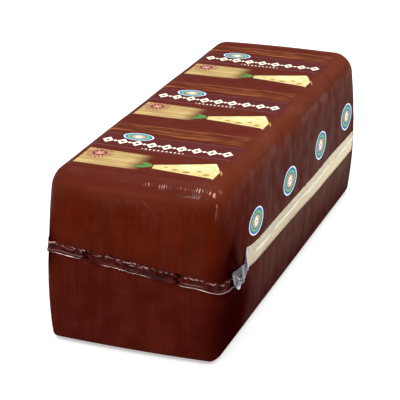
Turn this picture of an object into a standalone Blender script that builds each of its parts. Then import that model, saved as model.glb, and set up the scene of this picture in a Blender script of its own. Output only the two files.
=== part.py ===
"""Loaf of Tilsit cheese, vacuum packed in a printed shrink bag.

The bag is a tube of brown film with one clear stripe, through which the cheese
shows. Each end of the tube is closed by a crimped seal that lies folded down
on the loaf's end and runs round its corners into two shrunken ears.

Axes: X across the loaf, Y along it with the end that shows most at -Y, Z up.
The origin is on the surface that the loaf stands on, under its middle.
"""

import math

import bmesh
import bpy
from mathutils import Vector

# The loaf in its film, in metres
LENGTH = 0.290
WIDTH = 0.104
HEIGHT = 0.102
GIRTH_HEIGHT = 0.041  # where the barrelled sides are widest

TOP_RADIUS = 0.0122  # rounding of the edges round the top
BASE_RADIUS = 0.0048
END_RADIUS = 0.0121  # rounding of the ends, measured along the loaf

SIDE_DRAFT_TOP = 0.0023  # how far each side leans in, from the girth to the top
SIDE_DRAFT_BASE = 0.0026
END_DRAFT_TOP = 0.0053
END_DRAFT_BASE = 0.0011
END_BELLY = 0.0017  # how far the middle of an end stands out past its sides
SWELL = 0.0004  # soft unevenness of the pressed loaf
SIDE_SWELL_LENGTH = 0.118
TOP_SWELL_LENGTH = 0.091

# Film and cheese
FILM = 0.0008  # wall of the film's solid
PLAY = 0.0003  # clearance kept between neighbouring solids
CHEESE_INSET = FILM + PLAY

# The clear stripe on the +X side
STRIPE_TOP = 0.0489
STRIPE_BOTTOM = 0.0359
STRIPE_FRONT = 0.0475  # distance of its start from the loaf's front end
STRIPE_TURN = 30  # degrees that it runs on round the back corner
STRIPE_FALL = 0.0029  # how far it sinks towards the back
FALL_START = 0.098  # where it starts to sink, behind its own start
FALL_LENGTH = 0.056
STRIPE_SPREAD = 0.13  # by what share it's wider from there on
STRIPE_FLARE = 0.0042  # how far the front ear pulls its start up
FLARE_LENGTH = 0.018
FALL_REACH = 0.030  # height over which the film's lines follow the stripe

# The pocket where the film spans from the front corner to the clear ear
POCKET_DEPTH = 0.0016
POCKET_Y = -LENGTH / 2 + 0.037
POCKET_Z = 0.060
POCKET_LENGTH = 0.015
POCKET_HEIGHT = 0.013

# Cuts of the loaf's skin
BLOCK = 2  # half the size of the plain block that the skin is laid out on
EDGE_CUTS = 3  # from a flat face to the middle of a rounded edge
FLAT_CUTS_X = 5
FLAT_CUTS_Y = 11
FLAT_CUTS_Z = 3  # above the stripe, and again below it

# The end seals
SEAL_HEIGHT = 0.0056
SEAL_THICKNESS = 0.0009
SEAL_TUCK = 0.0005  # how far its folded upper edge stands off the film
SEAL_LIP = 0.0019  # how far its free lower edge stands off the film
SEAL_CRIMP = 0.0003
CRIMP_PITCH = 0.0076
SEAL_MIDDLE = 0.0528  # height of its middle line, halfway across the end
SEAL_SLOPE = 0.09  # its fall towards +X
SEAL_DROOP = 0.13  # further fall, from the +X corner on
DROOP_START = 0.044  # where that begins, round the girth from the middle
LEFT_DROOP = 0.34  # it levels off as it turns the -X corner
LEFT_DROOP_START = 0.043
SEAL_BOW = 0.0012  # how far it rises above its slant, towards -X
BOW_START = 0.028
BOW_LENGTH = 0.035
CORNER_DIP = 0.0011  # how far it dips at the +X corner
CORNER_DISTANCE = 0.0535
CORNER_REACH = 0.0065
SEAL_STEP = 0.0032  # spacing of its stations
SEAL_CUTS_DOWN = 3
PINCH_REACH = 0.0035  # half the length of a place where the lip is pinched
PINCH_RISE = 0.0018

# The ears
EAR_HEIGHT = 0.0128
EAR_LENGTH = 0.0200  # a shorter ear is lower and flatter in proportion
EAR_STAND_OFF = 0.0028
EAR_PLEAT = 0.0009
EAR_PLEATS = 2.5
EAR_TAPER = 0.50
EAR_TIP = 0.42  # where its point hangs, as a share of its length
EAR_GAP = 0.0008  # between the seal's ends and the ears
EAR_CUTS_ALONG = 10
EAR_CUTS_DOWN = 5

FRONT, BACK = -1, 1
LEFT, RIGHT = -1, 1

# Where each ear starts and stops, measured round the corner from the place
# where the flat of the loaf's end gives way to its rounding
EAR_SPANS = {
    (FRONT, RIGHT): (0.0265, 0.0480),
    (FRONT, LEFT): (0.0200, 0.0400),
    (BACK, RIGHT): (-0.0110, 0.0030),
    (BACK, LEFT): (0.0200, 0.0380),
}

# Where each seal's lip is pinched flat, measured across the loaf's end
PINCHES = {FRONT: (-0.0247, 0.0286), BACK: (-0.0180, 0.0120)}

SHARP_ANGLE = 50  # degrees past which an edge is shaded sharp
COLLECTION = "Tilsit loaf"


def smooth(share):
    """Eases 0..1 into 0..1 with level ends."""
    share = min(1.0, max(0.0, share))
    return share * share * (3 - 2 * share)


def blend(low, high, share):
    return low + (high - low) * share


# --- The loaf's skin. It starts as a plain block whose coordinates run from -2
# to 2 on each axis: from -1 to 1 they cross a flat face, and past that they
# turn through 45 degrees to the middle of a rounded edge.


def place_on_axis(t, half_length, radius):
    """On one level axis, the rounding's centre and the tangent of its turn."""
    core = (half_length - radius) * min(1.0, max(-1.0, t))
    beyond = max(0.0, abs(t) - 1)
    return core, math.copysign(math.tan(math.radians(45 * beyond)), t)


def place_upright(t):
    """The same for the height, whose two roundings differ."""
    share = min(1.0, max(0.0, (t + 1) / 2))
    core = blend(BASE_RADIUS, HEIGHT - TOP_RADIUS, share)
    beyond = max(0.0, abs(t) - 1)
    return core, math.copysign(math.tan(math.radians(45 * beyond)), t)


def height_to_t(z):
    return 2 * (z - BASE_RADIUS) / (HEIGHT - TOP_RADIUS - BASE_RADIUS) - 1


def length_to_t(y):
    return y / (LENGTH / 2 - END_RADIUS)


def side_radius(z):
    """Rounding of the long and upright edges, which grows from base to top."""
    span = HEIGHT - TOP_RADIUS - BASE_RADIUS
    return blend(BASE_RADIUS, TOP_RADIUS, smooth((z - BASE_RADIUS) / span))


def draft(z, towards_top, towards_base):
    if z > GIRTH_HEIGHT:
        return towards_top * ((z - GIRTH_HEIGHT) / (HEIGHT - GIRTH_HEIGHT)) ** 2
    return towards_base * ((GIRTH_HEIGHT - z) / GIRTH_HEIGHT) ** 2


def pocket(x, y, z):
    """Depth of the hollow in the +X side, beside the front ear."""
    along = (y - POCKET_Y) / POCKET_LENGTH
    up = (z - POCKET_Z) / POCKET_HEIGHT
    on_side = smooth(4 * x / WIDTH - 1)
    return POCKET_DEPTH * math.exp(-(along**2) - up**2) * on_side


def press(x, y, z):
    """Shapes the plain rounded block: leaning sides, bellied ends, soft swells."""
    across = 2 * x / WIDTH
    along = 2 * y / LENGTH
    up = z / HEIGHT
    lean_x = draft(z, SIDE_DRAFT_TOP, SIDE_DRAFT_BASE)
    lean_y = draft(z, END_DRAFT_TOP, END_DRAFT_BASE) + END_BELLY * across**2
    side_wave = math.sin(math.tau * y / SIDE_SWELL_LENGTH + 1.1) * math.sin(math.pi * up)
    top_wave = math.cos(math.tau * y / TOP_SWELL_LENGTH + 0.6) * (1 - across**2)
    return Vector(
        (
            x - across * (lean_x + SWELL * (1 - side_wave)) - pocket(x, y, z),
            y - along * lean_y,
            z - SWELL * (1 + top_wave) * smooth(up) ** 2,
        )
    )


def skin(t_x, t_y, t_z, inset=0.0):
    """A point of the loaf's skin and its outward direction."""
    core_z, turn_z = place_upright(t_z)
    radius_z = BASE_RADIUS if turn_z < 0 else TOP_RADIUS
    radius_x = side_radius(core_z)
    core_x, turn_x = place_on_axis(t_x, WIDTH / 2, radius_x)
    core_y, turn_y = place_on_axis(t_y, LENGTH / 2, END_RADIUS)
    turn = Vector((turn_x, turn_y, turn_z)).normalized()
    x = core_x + radius_x * turn.x
    y = core_y + END_RADIUS * turn.y
    z = core_z + radius_z * turn.z
    out = Vector((turn.x / radius_x, turn.y / END_RADIUS, turn.z / radius_z))
    out.normalize()
    return press(x, y, z) - inset * out, out


def sink(t_y, t_z):
    """Slides the skin's lines along with the stripe, which falls to the back."""
    flat_height = HEIGHT - TOP_RADIUS - BASE_RADIUS
    middle = height_to_t((STRIPE_TOP + STRIPE_BOTTOM) / 2)
    near = smooth(1 - abs(t_z - middle) * flat_height / (2 * FALL_REACH))
    run = max(0.0, (t_y + 1) * (LENGTH / 2 - END_RADIUS) + END_RADIUS - STRIPE_FRONT)
    far = smooth((run - FALL_START) / FALL_LENGTH)
    fall = STRIPE_FALL * far - STRIPE_FLARE * math.exp(-run / FLARE_LENGTH)
    return t_z + near * (STRIPE_SPREAD * far * (t_z - middle) - 2 * fall / flat_height)


def even_cuts(low, high, count):
    """Cuts strictly between low and high that part the span into count pieces."""
    return [blend(low, high, k / count) for k in range(1, count)]


def stripe_limits(margin):
    """The stripe's front, back, bottom and top on the block, drawn in by a margin."""
    return (
        length_to_t(-LENGTH / 2 + STRIPE_FRONT + margin),
        1 + (math.radians(STRIPE_TURN) - margin / END_RADIUS) / math.radians(45),
        height_to_t(STRIPE_BOTTOM + margin),
        height_to_t(STRIPE_TOP - margin),
    )


def block_cuts(margin):
    """Where the block is cut on each axis."""
    front, back, low, high = stripe_limits(margin)
    edges = [side * (1 + k / EDGE_CUTS) for k in range(EDGE_CUTS) for side in (-1, 1)]
    along = even_cuts(front, 1, FLAT_CUTS_Y)
    upright = even_cuts(-1, low, FLAT_CUTS_Z) + even_cuts(high, 1, FLAT_CUTS_Z)
    return (
        edges + even_cuts(-1, 1, FLAT_CUTS_X),
        edges + [(front - 1) / 2, front, back] + along,
        edges + [low, high] + upright,
    )


def cut_block(margin=0.0):
    """The plain block, cut by planes square to its axes."""
    bm = bmesh.new()
    bmesh.ops.create_cube(bm, size=2 * BLOCK)
    for axis, cuts in enumerate(block_cuts(margin)):
        normal = Vector((0, 0, 0))
        normal[axis] = 1
        for cut in sorted(cuts):
            bmesh.ops.bisect_plane(
                bm,
                geom=bm.verts[:] + bm.edges[:] + bm.faces[:],
                plane_co=normal * cut,
                plane_no=normal,
                dist=1e-6,
            )
    return bm


def in_stripe(face, margin=0.0):
    """True for a face of the plain block that lies in the clear stripe."""
    front, back, low, high = stripe_limits(margin)
    middle = face.calc_center_median()
    on_side = middle.x > BLOCK - 0.01
    return on_side and front < middle.y < back and low < middle.z < high


def wrap(bm, inset=0.0):
    """Lays the cut block's vertices on the loaf's skin."""
    for vert in bm.verts:
        t_x, t_y, t_z = vert.co
        vert.co = skin(t_x, t_y, sink(t_y, t_z), inset)[0]


# --- The end seals and ears: sheets laid along the loaf's girth


def girth_to_block(distance, z):
    """Block coordinates of a point on the loaf's girth, at height z.

    The distance runs round the -Y end from its middle, positive towards +X.
    """
    radius = side_radius(z)
    flat = WIDTH / 2 - radius
    corner = math.pi / 4 * (radius + END_RADIUS)
    side = math.copysign(1, distance)
    run = abs(distance)
    if run <= flat:
        return side * run / flat, -BLOCK
    turned = 2 * (run - flat) / corner
    if turned <= 1:
        return side * (1 + turned), -BLOCK
    if turned <= 2:
        return side * BLOCK, turned - 3
    return side * BLOCK, -1 + (run - flat - corner) / (LENGTH / 2 - END_RADIUS)


def girth_distance(past_flat, z):
    """The distance on the girth of a point so far past the flat of the end."""
    return WIDTH / 2 - side_radius(z) + past_flat


def off_skin(end, distance, z, stand_off):
    """A point that stands off the skin, beside the loaf's front or back end."""
    t_x, t_y = girth_to_block(distance, z)
    point, out = skin(t_x, -end * t_y, height_to_t(z))
    return point + stand_off * out


def seal_height(distance):
    """Height of the seal's middle line, which slants across the end."""
    droop = SEAL_DROOP * max(0.0, distance - DROOP_START)
    droop += LEFT_DROOP * max(0.0, -distance - LEFT_DROOP_START)
    droop += CORNER_DIP * math.exp(-(((distance - CORNER_DISTANCE) / CORNER_REACH) ** 2))
    droop -= SEAL_BOW * smooth((BOW_START - distance) / BOW_LENGTH)
    return SEAL_MIDDLE - SEAL_SLOPE * distance - droop


def seal_end(end, side):
    """Where the seal stops on the girth, just short of an ear."""
    past_flat = EAR_SPANS[end, side][0] - EAR_GAP
    middle = seal_height(side * girth_distance(past_flat, SEAL_MIDDLE))
    return side * girth_distance(past_flat, middle + SEAL_HEIGHT / 2)


def pinch(end, distance):
    """1 where the seal's lip is pinched flat, 0 away from there."""
    return max(
        math.exp(-(((distance - place) / PINCH_REACH) ** 2)) for place in PINCHES[end]
    )


def make_sheet(name, cuts_along, cuts_down, place, mirrored):
    """A grid laid by place(along, down), both from 0 to 1, and thickened outwards.

    A mirrored sheet has its columns reversed, so that it faces out as well.
    """
    bm = bmesh.new()
    bmesh.ops.create_grid(bm, x_segments=cuts_along, y_segments=cuts_down, size=0.5)
    for vert in bm.verts:
        along = 0.5 - vert.co.x if mirrored else 0.5 + vert.co.x
        vert.co = place(along, 0.5 - vert.co.y)
    sheet = make_object(name, bm)
    thicken(sheet, SEAL_THICKNESS, outwards=True)
    return sheet


def make_seal(name, end):
    """The crimped seal, from ear to ear round one end of the loaf."""
    left = seal_end(end, LEFT)
    right = seal_end(end, RIGHT)

    def place(along, down):
        distance = blend(left, right, along)
        pinched = pinch(end, distance)
        z = seal_height(distance) + SEAL_HEIGHT * (0.5 - down)
        crimp = SEAL_CRIMP * math.sin(math.tau * distance / CRIMP_PITCH)
        lip = blend(SEAL_LIP, SEAL_TUCK, pinched)
        lift = blend(SEAL_TUCK, lip, down**2) + crimp * down
        return off_skin(end, distance, z + PINCH_RISE * pinched * down, lift)

    stations = round((right - left) / SEAL_STEP)
    return make_sheet(name, stations, SEAL_CUTS_DOWN, place, mirrored=end == BACK)


def make_ear(name, end, side):
    """A shrunken corner of the bag: a pleated flap that hangs to a point."""
    start, stop = EAR_SPANS[end, side]
    size = min(1.0, (stop - start) / EAR_LENGTH)
    top = seal_height(side * girth_distance(start, SEAL_MIDDLE)) + SEAL_HEIGHT / 2

    def place(along, down):
        hung = smooth(down)
        z = top - EAR_HEIGHT * size * down
        reach = blend(along, EAR_TIP, EAR_TAPER * hung)
        distance = side * girth_distance(blend(start, stop, reach), z)
        pleat = EAR_PLEAT * (1 + math.cos(math.tau * EAR_PLEATS * along)) * down
        lift = SEAL_TUCK + (EAR_STAND_OFF * hung + pleat) * size
        return off_skin(end, distance, z, lift)

    mirrored = end == side
    return make_sheet(name, EAR_CUTS_ALONG, EAR_CUTS_DOWN, place, mirrored)


# --- Objects and materials


def make_object(name, bm):
    """Turns a bmesh into an object of the loaf's collection, shaded smooth."""
    mesh = bpy.data.meshes.new(name)
    bm.to_mesh(mesh)
    bm.free()
    mesh.shade_smooth()
    mesh.set_sharp_from_angle(angle=math.radians(SHARP_ANGLE))
    obj = bpy.data.objects.new(name, mesh)
    bpy.data.collections[COLLECTION].objects.link(obj)
    return obj


def thicken(obj, thickness, outwards=False):
    wall = obj.modifiers.new("Thickness", "SOLIDIFY")
    wall.thickness = thickness
    wall.offset = 1 if outwards else -1


def make_cheese():
    """The pressed block of cheese inside the film."""
    bm = cut_block()
    wrap(bm, CHEESE_INSET)
    return make_object("cheese", bm)


def make_printed_film():
    """The brown part of the bag, open where the clear stripe runs."""
    bm = cut_block()
    stripe = [face for face in bm.faces if in_stripe(face)]
    bmesh.ops.delete(bm, geom=stripe, context="FACES")
    wrap(bm)
    film = make_object("printed_film", bm)
    thicken(film, FILM)
    return film


def make_clear_stripe():
    """The clear part of the bag, lying in the printed film's opening."""
    bm = cut_block(PLAY)
    others = [face for face in bm.faces if not in_stripe(face, PLAY)]
    bmesh.ops.delete(bm, geom=others, context="FACES")
    wrap(bm)
    stripe = make_object("clear_stripe", bm)
    thicken(stripe, FILM)
    return stripe


def make_material(name, colour, roughness, alpha=1.0):
    material = bpy.data.materials.new(name)
    material.use_nodes = True
    shader = material.node_tree.nodes["Principled BSDF"]
    shader.inputs["Base Color"].default_value = (*colour, 1)
    shader.inputs["Roughness"].default_value = roughness
    shader.inputs["Metallic"].default_value = 0
    shader.inputs["Alpha"].default_value = alpha
    material.diffuse_color = (*colour, alpha)
    return material


def main():
    for old in list(bpy.data.objects):
        bpy.data.objects.remove(old)
    collection = bpy.data.collections.new(COLLECTION)
    bpy.context.scene.collection.children.link(collection)

    cheese = make_material("Tilsit cheese", (0.78, 0.66, 0.38), 0.45)
    brown_film = make_material("Printed film", (0.115, 0.020, 0.012), 0.30)
    clear_film = make_material("Clear film", (0.85, 0.85, 0.88), 0.12, alpha=0.35)

    pieces = (
        (make_cheese(), cheese),
        (make_printed_film(), brown_film),
        (make_clear_stripe(), clear_film),
        (make_seal("front_seal", FRONT), brown_film),
        (make_seal("back_seal", BACK), brown_film),
        (make_ear("front_clear_ear", FRONT, RIGHT), clear_film),
        (make_ear("front_brown_ear", FRONT, LEFT), brown_film),
        (make_ear("back_clear_ear", BACK, RIGHT), clear_film),
        (make_ear("back_brown_ear", BACK, LEFT), brown_film),
    )
    for piece, material in pieces:
        piece.data.materials.append(material)


main()
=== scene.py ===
"""Looks of a vacuum-packed loaf of Tilsit cheese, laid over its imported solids.

The bag is a tube of brown printed film with one clear stripe. Each end is
closed by a crimped seal, folded down on the loaf and shrunk into two ears.
Lengths are in metres. The print is drawn in millimetres on the unrolled film.
"""

import math

import bmesh
import bpy
from mathutils import Matrix, Vector, noise


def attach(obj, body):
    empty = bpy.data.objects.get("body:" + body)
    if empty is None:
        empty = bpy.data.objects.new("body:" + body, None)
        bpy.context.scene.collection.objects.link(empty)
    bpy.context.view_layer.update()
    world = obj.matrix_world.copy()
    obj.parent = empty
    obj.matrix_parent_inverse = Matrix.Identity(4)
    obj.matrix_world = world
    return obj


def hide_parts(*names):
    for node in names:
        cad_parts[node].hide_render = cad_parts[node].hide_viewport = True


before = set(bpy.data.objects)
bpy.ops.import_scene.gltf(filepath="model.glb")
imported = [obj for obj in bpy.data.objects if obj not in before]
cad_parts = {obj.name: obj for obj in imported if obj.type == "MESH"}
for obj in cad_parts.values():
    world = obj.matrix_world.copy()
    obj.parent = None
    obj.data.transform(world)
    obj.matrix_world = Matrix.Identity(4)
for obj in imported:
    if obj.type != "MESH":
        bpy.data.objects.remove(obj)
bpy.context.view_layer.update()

# The loaf in its film, as the solids have it
LENGTH = 0.290
WIDTH = 0.104
HEIGHT = 0.102
GIRTH_HEIGHT = 0.041
TOP_RADIUS = 0.0122
BASE_RADIUS = 0.0048
END_RADIUS = 0.0121
SIDE_DRAFT_TOP = 0.0023
SIDE_DRAFT_BASE = 0.0026
END_DRAFT_TOP = 0.0053
END_DRAFT_BASE = 0.0011
END_BELLY = 0.0017
SWELL = 0.0004
SIDE_SWELL_LENGTH = 0.118
TOP_SWELL_LENGTH = 0.091
SIDE_SWELL_PHASE = 1.1
TOP_SWELL_PHASE = 0.6
FLAT_HEIGHT = HEIGHT - TOP_RADIUS - BASE_RADIUS
FLAT_HALF_LENGTH = LENGTH / 2 - END_RADIUS

# The clear stripe
STRIPE_TOP = 0.0489
STRIPE_BOTTOM = 0.0359
STRIPE_FRONT = 0.0475
STRIPE_TURN = 30  # degrees round the back corner, where the stripe ends
STRIPE_FALL = 0.0029
FALL_START = 0.098
FALL_LENGTH = 0.056
STRIPE_SPREAD = 0.13
STRIPE_FLARE = 0.0042
FLARE_LENGTH = 0.018
FALL_REACH = 0.030

# The pocket where the film spans from the front corner to the clear ear
POCKET_DEPTH = 0.0016
POCKET_Y = -LENGTH / 2 + 0.037
POCKET_Z = 0.060
POCKET_LENGTH = 0.015
POCKET_HEIGHT = 0.013

# The end seals and ears
SEAL_HEIGHT = 0.0056
SEAL_MIDDLE = 0.0528
SEAL_SLOPE = 0.09
SEAL_DROOP = 0.13
DROOP_START = 0.044
LEFT_DROOP = 0.34  # the seal levels off as it turns the -X corner
LEFT_DROOP_START = 0.043
SEAL_BOW = 0.0012  # how far the seal rises above its slant, towards -X
BOW_START = 0.028
BOW_LENGTH = 0.035
CORNER_DIP = 0.0011  # and how far it dips at the +X corner
CORNER_DISTANCE = 0.0535
CORNER_REACH = 0.0065
PINCH_REACH = 0.0021
PINCH_RISE = 0.0006
EAR_HEIGHT = 0.0128
EAR_LENGTH = 0.0200
EAR_SPACE = 0.0008
EAR_RISE = 0.0024  # how far an ear's corner stands up above the seal
FRONT, BACK = -1, 1
LEFT, RIGHT = -1, 1
EAR_SPANS = {
    (FRONT, RIGHT): (0.0240, 0.0505),
    (FRONT, LEFT): (0.0200, 0.0400),
    (BACK, RIGHT): (-0.0110, 0.0030),
    (BACK, LEFT): (0.0200, 0.0380),
}
PINCHES = {FRONT: (-0.0247, 0.0286), BACK: (-0.0180, 0.0120)}

# Real film, which the solids hold thicker
FILM = 0.0005  # depth of the printed film's cut edge round the stripe
CLEAR_FILM = 0.00015
SEAL_FILM = 0.00025
STRIPE_INSET = 0.00012  # how far the stripe lies below the printed film's face
STRIPE_PLAY = 0.00008
CHEESE_INSET = 0.0006
PIT_DEPTH = 0.0001  # of the pits in the cheese
PIT_SIZE = 0.006

BLOCK = 2  # half the size of the plain block that the skin is laid out on
EDGE_TURN = 45  # degrees that an edge turns through from a flat to its middle
TINY = 1e-6
SHARP_ANGLE = 50  # degrees

# How the film stands off the loaf
SETTLED_HEIGHT = 0.010  # below this the loaf's weight presses the film smooth
SLACK = 0.00022
SLACK_SIZE = 0.034
SIDE_RIPPLE = 0.00022
SIDE_RIPPLE_PITCH = 0.0060
SIDE_RIPPLE_LENGTH = 0.022
RIPPLE_PATCH = (0.035, 0.030)  # the ripples come in patches, this long and high
RIPPLE_HEIGHTS = (0.034, 0.054)  # fainter below, full above
FAINT_RIPPLE = 0.35
PULL = 0.00026  # upright wrinkles that run up and down from the seals
PULL_PITCH = 0.0032
PULL_REACH = 0.015
PULL_LENGTH = 0.030
PULL_WIDTH = (0.088, 0.033)  # distances round the end: none past one, full within the other
PLEAT = 0.00034  # short pleats over the top edge of each end
PLEAT_PITCH = 0.0014
PLEAT_REACH = 0.0012
PLEAT_UPPER_SHARE = 0.8  # they reach less far up than down
PLEAT_RISE = 0.0002  # how far above the middle of the edge the pleats lie
PLEAT_WANDER = 0.0004
PLEAT_WANDER_PITCH = 0.0042
PLEAT_SHIFT = 1.4  # how many pitches a pleat may stray
PLEAT_SHIFT_PITCH = 0.0050
PLEAT_LENGTH = 0.012
UNEVEN_PITCH = 0.0022
UNEVEN_LENGTH = 0.0050
PLEAT_HEIGHTS = (0.080, 0.090)  # none below one, full above the other

# The pleats crowd in groups: middle from -X to +X, reach and strength
PLEAT_GROUPS = (
    (-0.0290, 0.0016, 0.15),
    (-0.0060, 0.0014, 0.40),
    (0.0086, 0.0032, 0.65),
    (0.0176, 0.0036, 0.95),
    (0.0284, 0.0030, 0.85),
    (0.0370, 0.0036, 1.05),
    (0.0444, 0.0034, 1.15),
)
DRAG_SLOPE = 40  # degrees below level of the marks that cross the pleats' lower ends
DRAG_PITCH = 0.0017
DRAG_LENGTH = 0.009
DRAG_MIDDLE = 0.008
DRAG_REACH = 0.024
DRAG_LOWEST = (0.074, 0.092)  # the marks come in from one height to the other
DRAG_HIGHEST = (0.0965, 0.0930)  # and go out again
FAN = 0.00040  # folds that spread out from each ear
FAN_FOLDS = 11
FAN_REACH = 0.014
FAN_START = 0.005
FAN_WANDER = 2.5
FAN_WANDER_PITCH = 0.008
HOLLOW_LEAD = 0.0130  # a painted shade lies over a hollow this far from each ear, towards the corner
HOLLOW_RISE = 0.0030
HOLLOW_LENGTH = 0.0170
HOLLOW_HEIGHT = 0.0150
HOLLOW_CLIMB = 0.0220  # it thins out this far up the corner
SHADE_LEAD = 0.0070  # and a fainter painted shade lies below it
SHADE_DROP = 0.0240
SHADE_LENGTH = 0.0340
SHADE_HEIGHT = 0.0340
SHADE = {LEFT: 0.15, RIGHT: 0.80}
TAUT_GLOSS = 0.06
GATHERED_GLOSS = 0.50
DRAG_GLOSS = 0.11
EDGE_GLOSS = 0.06  # in patches along the long top edges
CORNER_GLOSS = 0.09  # in patches down the top of each upright edge
TAUT_LENGTH = 0.085  # how far back the clear side's dull front reaches
FRONT_DULL = 0.85
FRONT_DULL_HEIGHTS = (0.066, 0.084)  # a little less dull above
FOOT_DULL = 0.5
FOOT_HEIGHTS = (0.0312, 0.0052)  # dullest below the second
LONG_PATCH = (0.016, 0.010)  # length and width of the glossy patches on the long edges
CORNER_PATCH = (0.0024, 0.010)  # and on the upright ones
CORNER_HEIGHTS = (0.070, 0.088)  # which come in from one height to the other


def smooth(share):
    """Eases 0..1 into 0..1 with level ends."""
    share = min(1.0, max(0.0, share))
    return share * share * (3 - 2 * share)


def rise(value, start, stop):
    """0 at the start and before it, 1 at the stop and past it, eased in between."""
    return smooth((value - start) / (stop - start))


def blend(low, high, share):
    return low + (high - low) * share


def bell(distance, reach):
    """1 at a distance of 0, falling away over the reach."""
    return math.exp(-((distance / reach) ** 2))


# --- The loaf's skin, laid out on a plain block whose coordinates run from -2
# to 2: from -1 to 1 they cross a flat face, and past that they turn through
# 45 degrees to the middle of a rounded edge.


def turn_past(t):
    """The tangent of the turn that an edge has made at this coordinate."""
    beyond = max(0.0, abs(t) - 1)
    return math.copysign(math.tan(math.radians(EDGE_TURN * beyond)), t)


def place_on_axis(t, half_length, radius):
    """On one level axis, the rounding's centre and the tangent of its turn."""
    return (half_length - radius) * min(1.0, max(-1.0, t)), turn_past(t)


def place_upright(t):
    """The same for the height, whose two roundings differ."""
    share = min(1.0, max(0.0, (t + 1) / 2))
    return blend(BASE_RADIUS, HEIGHT - TOP_RADIUS, share), turn_past(t)


def height_to_t(z):
    return 2 * (z - BASE_RADIUS) / FLAT_HEIGHT - 1


def length_to_t(y):
    return y / FLAT_HALF_LENGTH


def side_radius(z):
    """Rounding of the long and upright edges, which grows from base to top."""
    return blend(BASE_RADIUS, TOP_RADIUS, smooth((z - BASE_RADIUS) / FLAT_HEIGHT))


def draft(z, towards_top, towards_base):
    if z > GIRTH_HEIGHT:
        return towards_top * ((z - GIRTH_HEIGHT) / (HEIGHT - GIRTH_HEIGHT)) ** 2
    return towards_base * ((GIRTH_HEIGHT - z) / GIRTH_HEIGHT) ** 2


def pocket(x, y, z):
    """Depth of the hollow in the +X side, beside the front ear."""
    along = (y - POCKET_Y) / POCKET_LENGTH
    up = (z - POCKET_Z) / POCKET_HEIGHT
    on_side = smooth(4 * x / WIDTH - 1)
    return POCKET_DEPTH * math.exp(-(along**2) - up**2) * on_side


def press(x, y, z):
    """Shapes the plain rounded block: leaning sides, bellied ends, soft swells."""
    across = 2 * x / WIDTH
    along = 2 * y / LENGTH
    up = z / HEIGHT
    lean_x = draft(z, SIDE_DRAFT_TOP, SIDE_DRAFT_BASE)
    lean_y = draft(z, END_DRAFT_TOP, END_DRAFT_BASE) + END_BELLY * across**2
    side_wave = math.sin(math.tau * y / SIDE_SWELL_LENGTH + SIDE_SWELL_PHASE)
    side_wave *= math.sin(math.pi * up)
    top_wave = math.cos(math.tau * y / TOP_SWELL_LENGTH + TOP_SWELL_PHASE) * (1 - across**2)
    return Vector(
        (
            x - across * (lean_x + SWELL * (1 - side_wave)) - pocket(x, y, z),
            y - along * lean_y,
            z - SWELL * (1 + top_wave) * smooth(up) ** 2,
        )
    )


def skin(t_x, t_y, t_z):
    """A point of the loaf's skin and its outward direction."""
    core_z, turn_z = place_upright(t_z)
    radius_z = BASE_RADIUS if turn_z < 0 else TOP_RADIUS
    radius_x = side_radius(core_z)
    core_x, turn_x = place_on_axis(t_x, WIDTH / 2, radius_x)
    core_y, turn_y = place_on_axis(t_y, LENGTH / 2, END_RADIUS)
    turn = Vector((turn_x, turn_y, turn_z)).normalized()
    x = core_x + radius_x * turn.x
    y = core_y + END_RADIUS * turn.y
    z = core_z + radius_z * turn.z
    out = Vector((turn.x / radius_x, turn.y / END_RADIUS, turn.z / radius_z))
    return press(x, y, z), out.normalized()


def sink(t_y, t_z):
    """Slides the skin's lines along with the stripe, which falls to the back."""
    middle = height_to_t((STRIPE_TOP + STRIPE_BOTTOM) / 2)
    near = smooth(1 - abs(t_z - middle) * FLAT_HEIGHT / (2 * FALL_REACH))
    run = max(0.0, (t_y + 1) * FLAT_HALF_LENGTH + END_RADIUS - STRIPE_FRONT)
    far = smooth((run - FALL_START) / FALL_LENGTH)
    fall = STRIPE_FALL * far - STRIPE_FLARE * math.exp(-run / FLARE_LENGTH)
    return t_z + near * (STRIPE_SPREAD * far * (t_z - middle) - 2 * fall / FLAT_HEIGHT)


def stripe_limits(margin=0.0):
    """The stripe's front, back, bottom and top on the block, drawn in by a margin."""
    return (
        length_to_t(-LENGTH / 2 + STRIPE_FRONT + margin),
        1 + (math.radians(STRIPE_TURN) - margin / END_RADIUS) / math.radians(EDGE_TURN),
        height_to_t(STRIPE_BOTTOM + margin),
        height_to_t(STRIPE_TOP - margin),
    )


def over_edge(t, flat, radius):
    """Distance along the skin from the middle of a flat, out to half an edge."""
    beyond = max(0.0, abs(t) - 1)
    return math.copysign(flat * min(1.0, abs(t)) + radius * math.pi / 4 * beyond, t)


def down_from_edge(t_z):
    """Distance down the skin from the middle of the edge round the top."""
    turned = min(1.0, BLOCK - t_z)
    fallen = max(0.0, 1 - t_z) / 2
    return TOP_RADIUS * math.pi / 4 * turned + FLAT_HEIGHT * fallen


def on_face(coordinate):
    """Whether a block coordinate is that of one of its faces."""
    return abs(coordinate) > BLOCK - TINY


def unroll(t):
    """Where the flat film had this point: across from its top line, and along."""
    across = over_edge(t.x, WIDTH / 2 - TOP_RADIUS, TOP_RADIUS)
    along = over_edge(t.y, FLAT_HALF_LENGTH, END_RADIUS)
    if on_face(t.x):
        across += math.copysign(down_from_edge(t.z), t.x)
    elif on_face(t.y):
        along += math.copysign(down_from_edge(t.z), t.y)
    return across, along


# --- Distances round an end of the loaf, from its middle, positive towards +X


def girth_to_block(distance, z):
    """Block coordinates of a point so far round the -Y end, at height z."""
    radius = side_radius(z)
    flat = WIDTH / 2 - radius
    corner = math.pi / 4 * (radius + END_RADIUS)
    side = math.copysign(1, distance)
    run = abs(distance)
    if run <= flat:
        return side * run / flat, -BLOCK
    turned = 2 * (run - flat) / corner
    if turned <= 1:
        return side * (1 + turned), -BLOCK
    if turned <= 2:
        return side * BLOCK, turned - 3
    return side * BLOCK, -1 + (run - flat - corner) / FLAT_HALF_LENGTH


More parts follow.
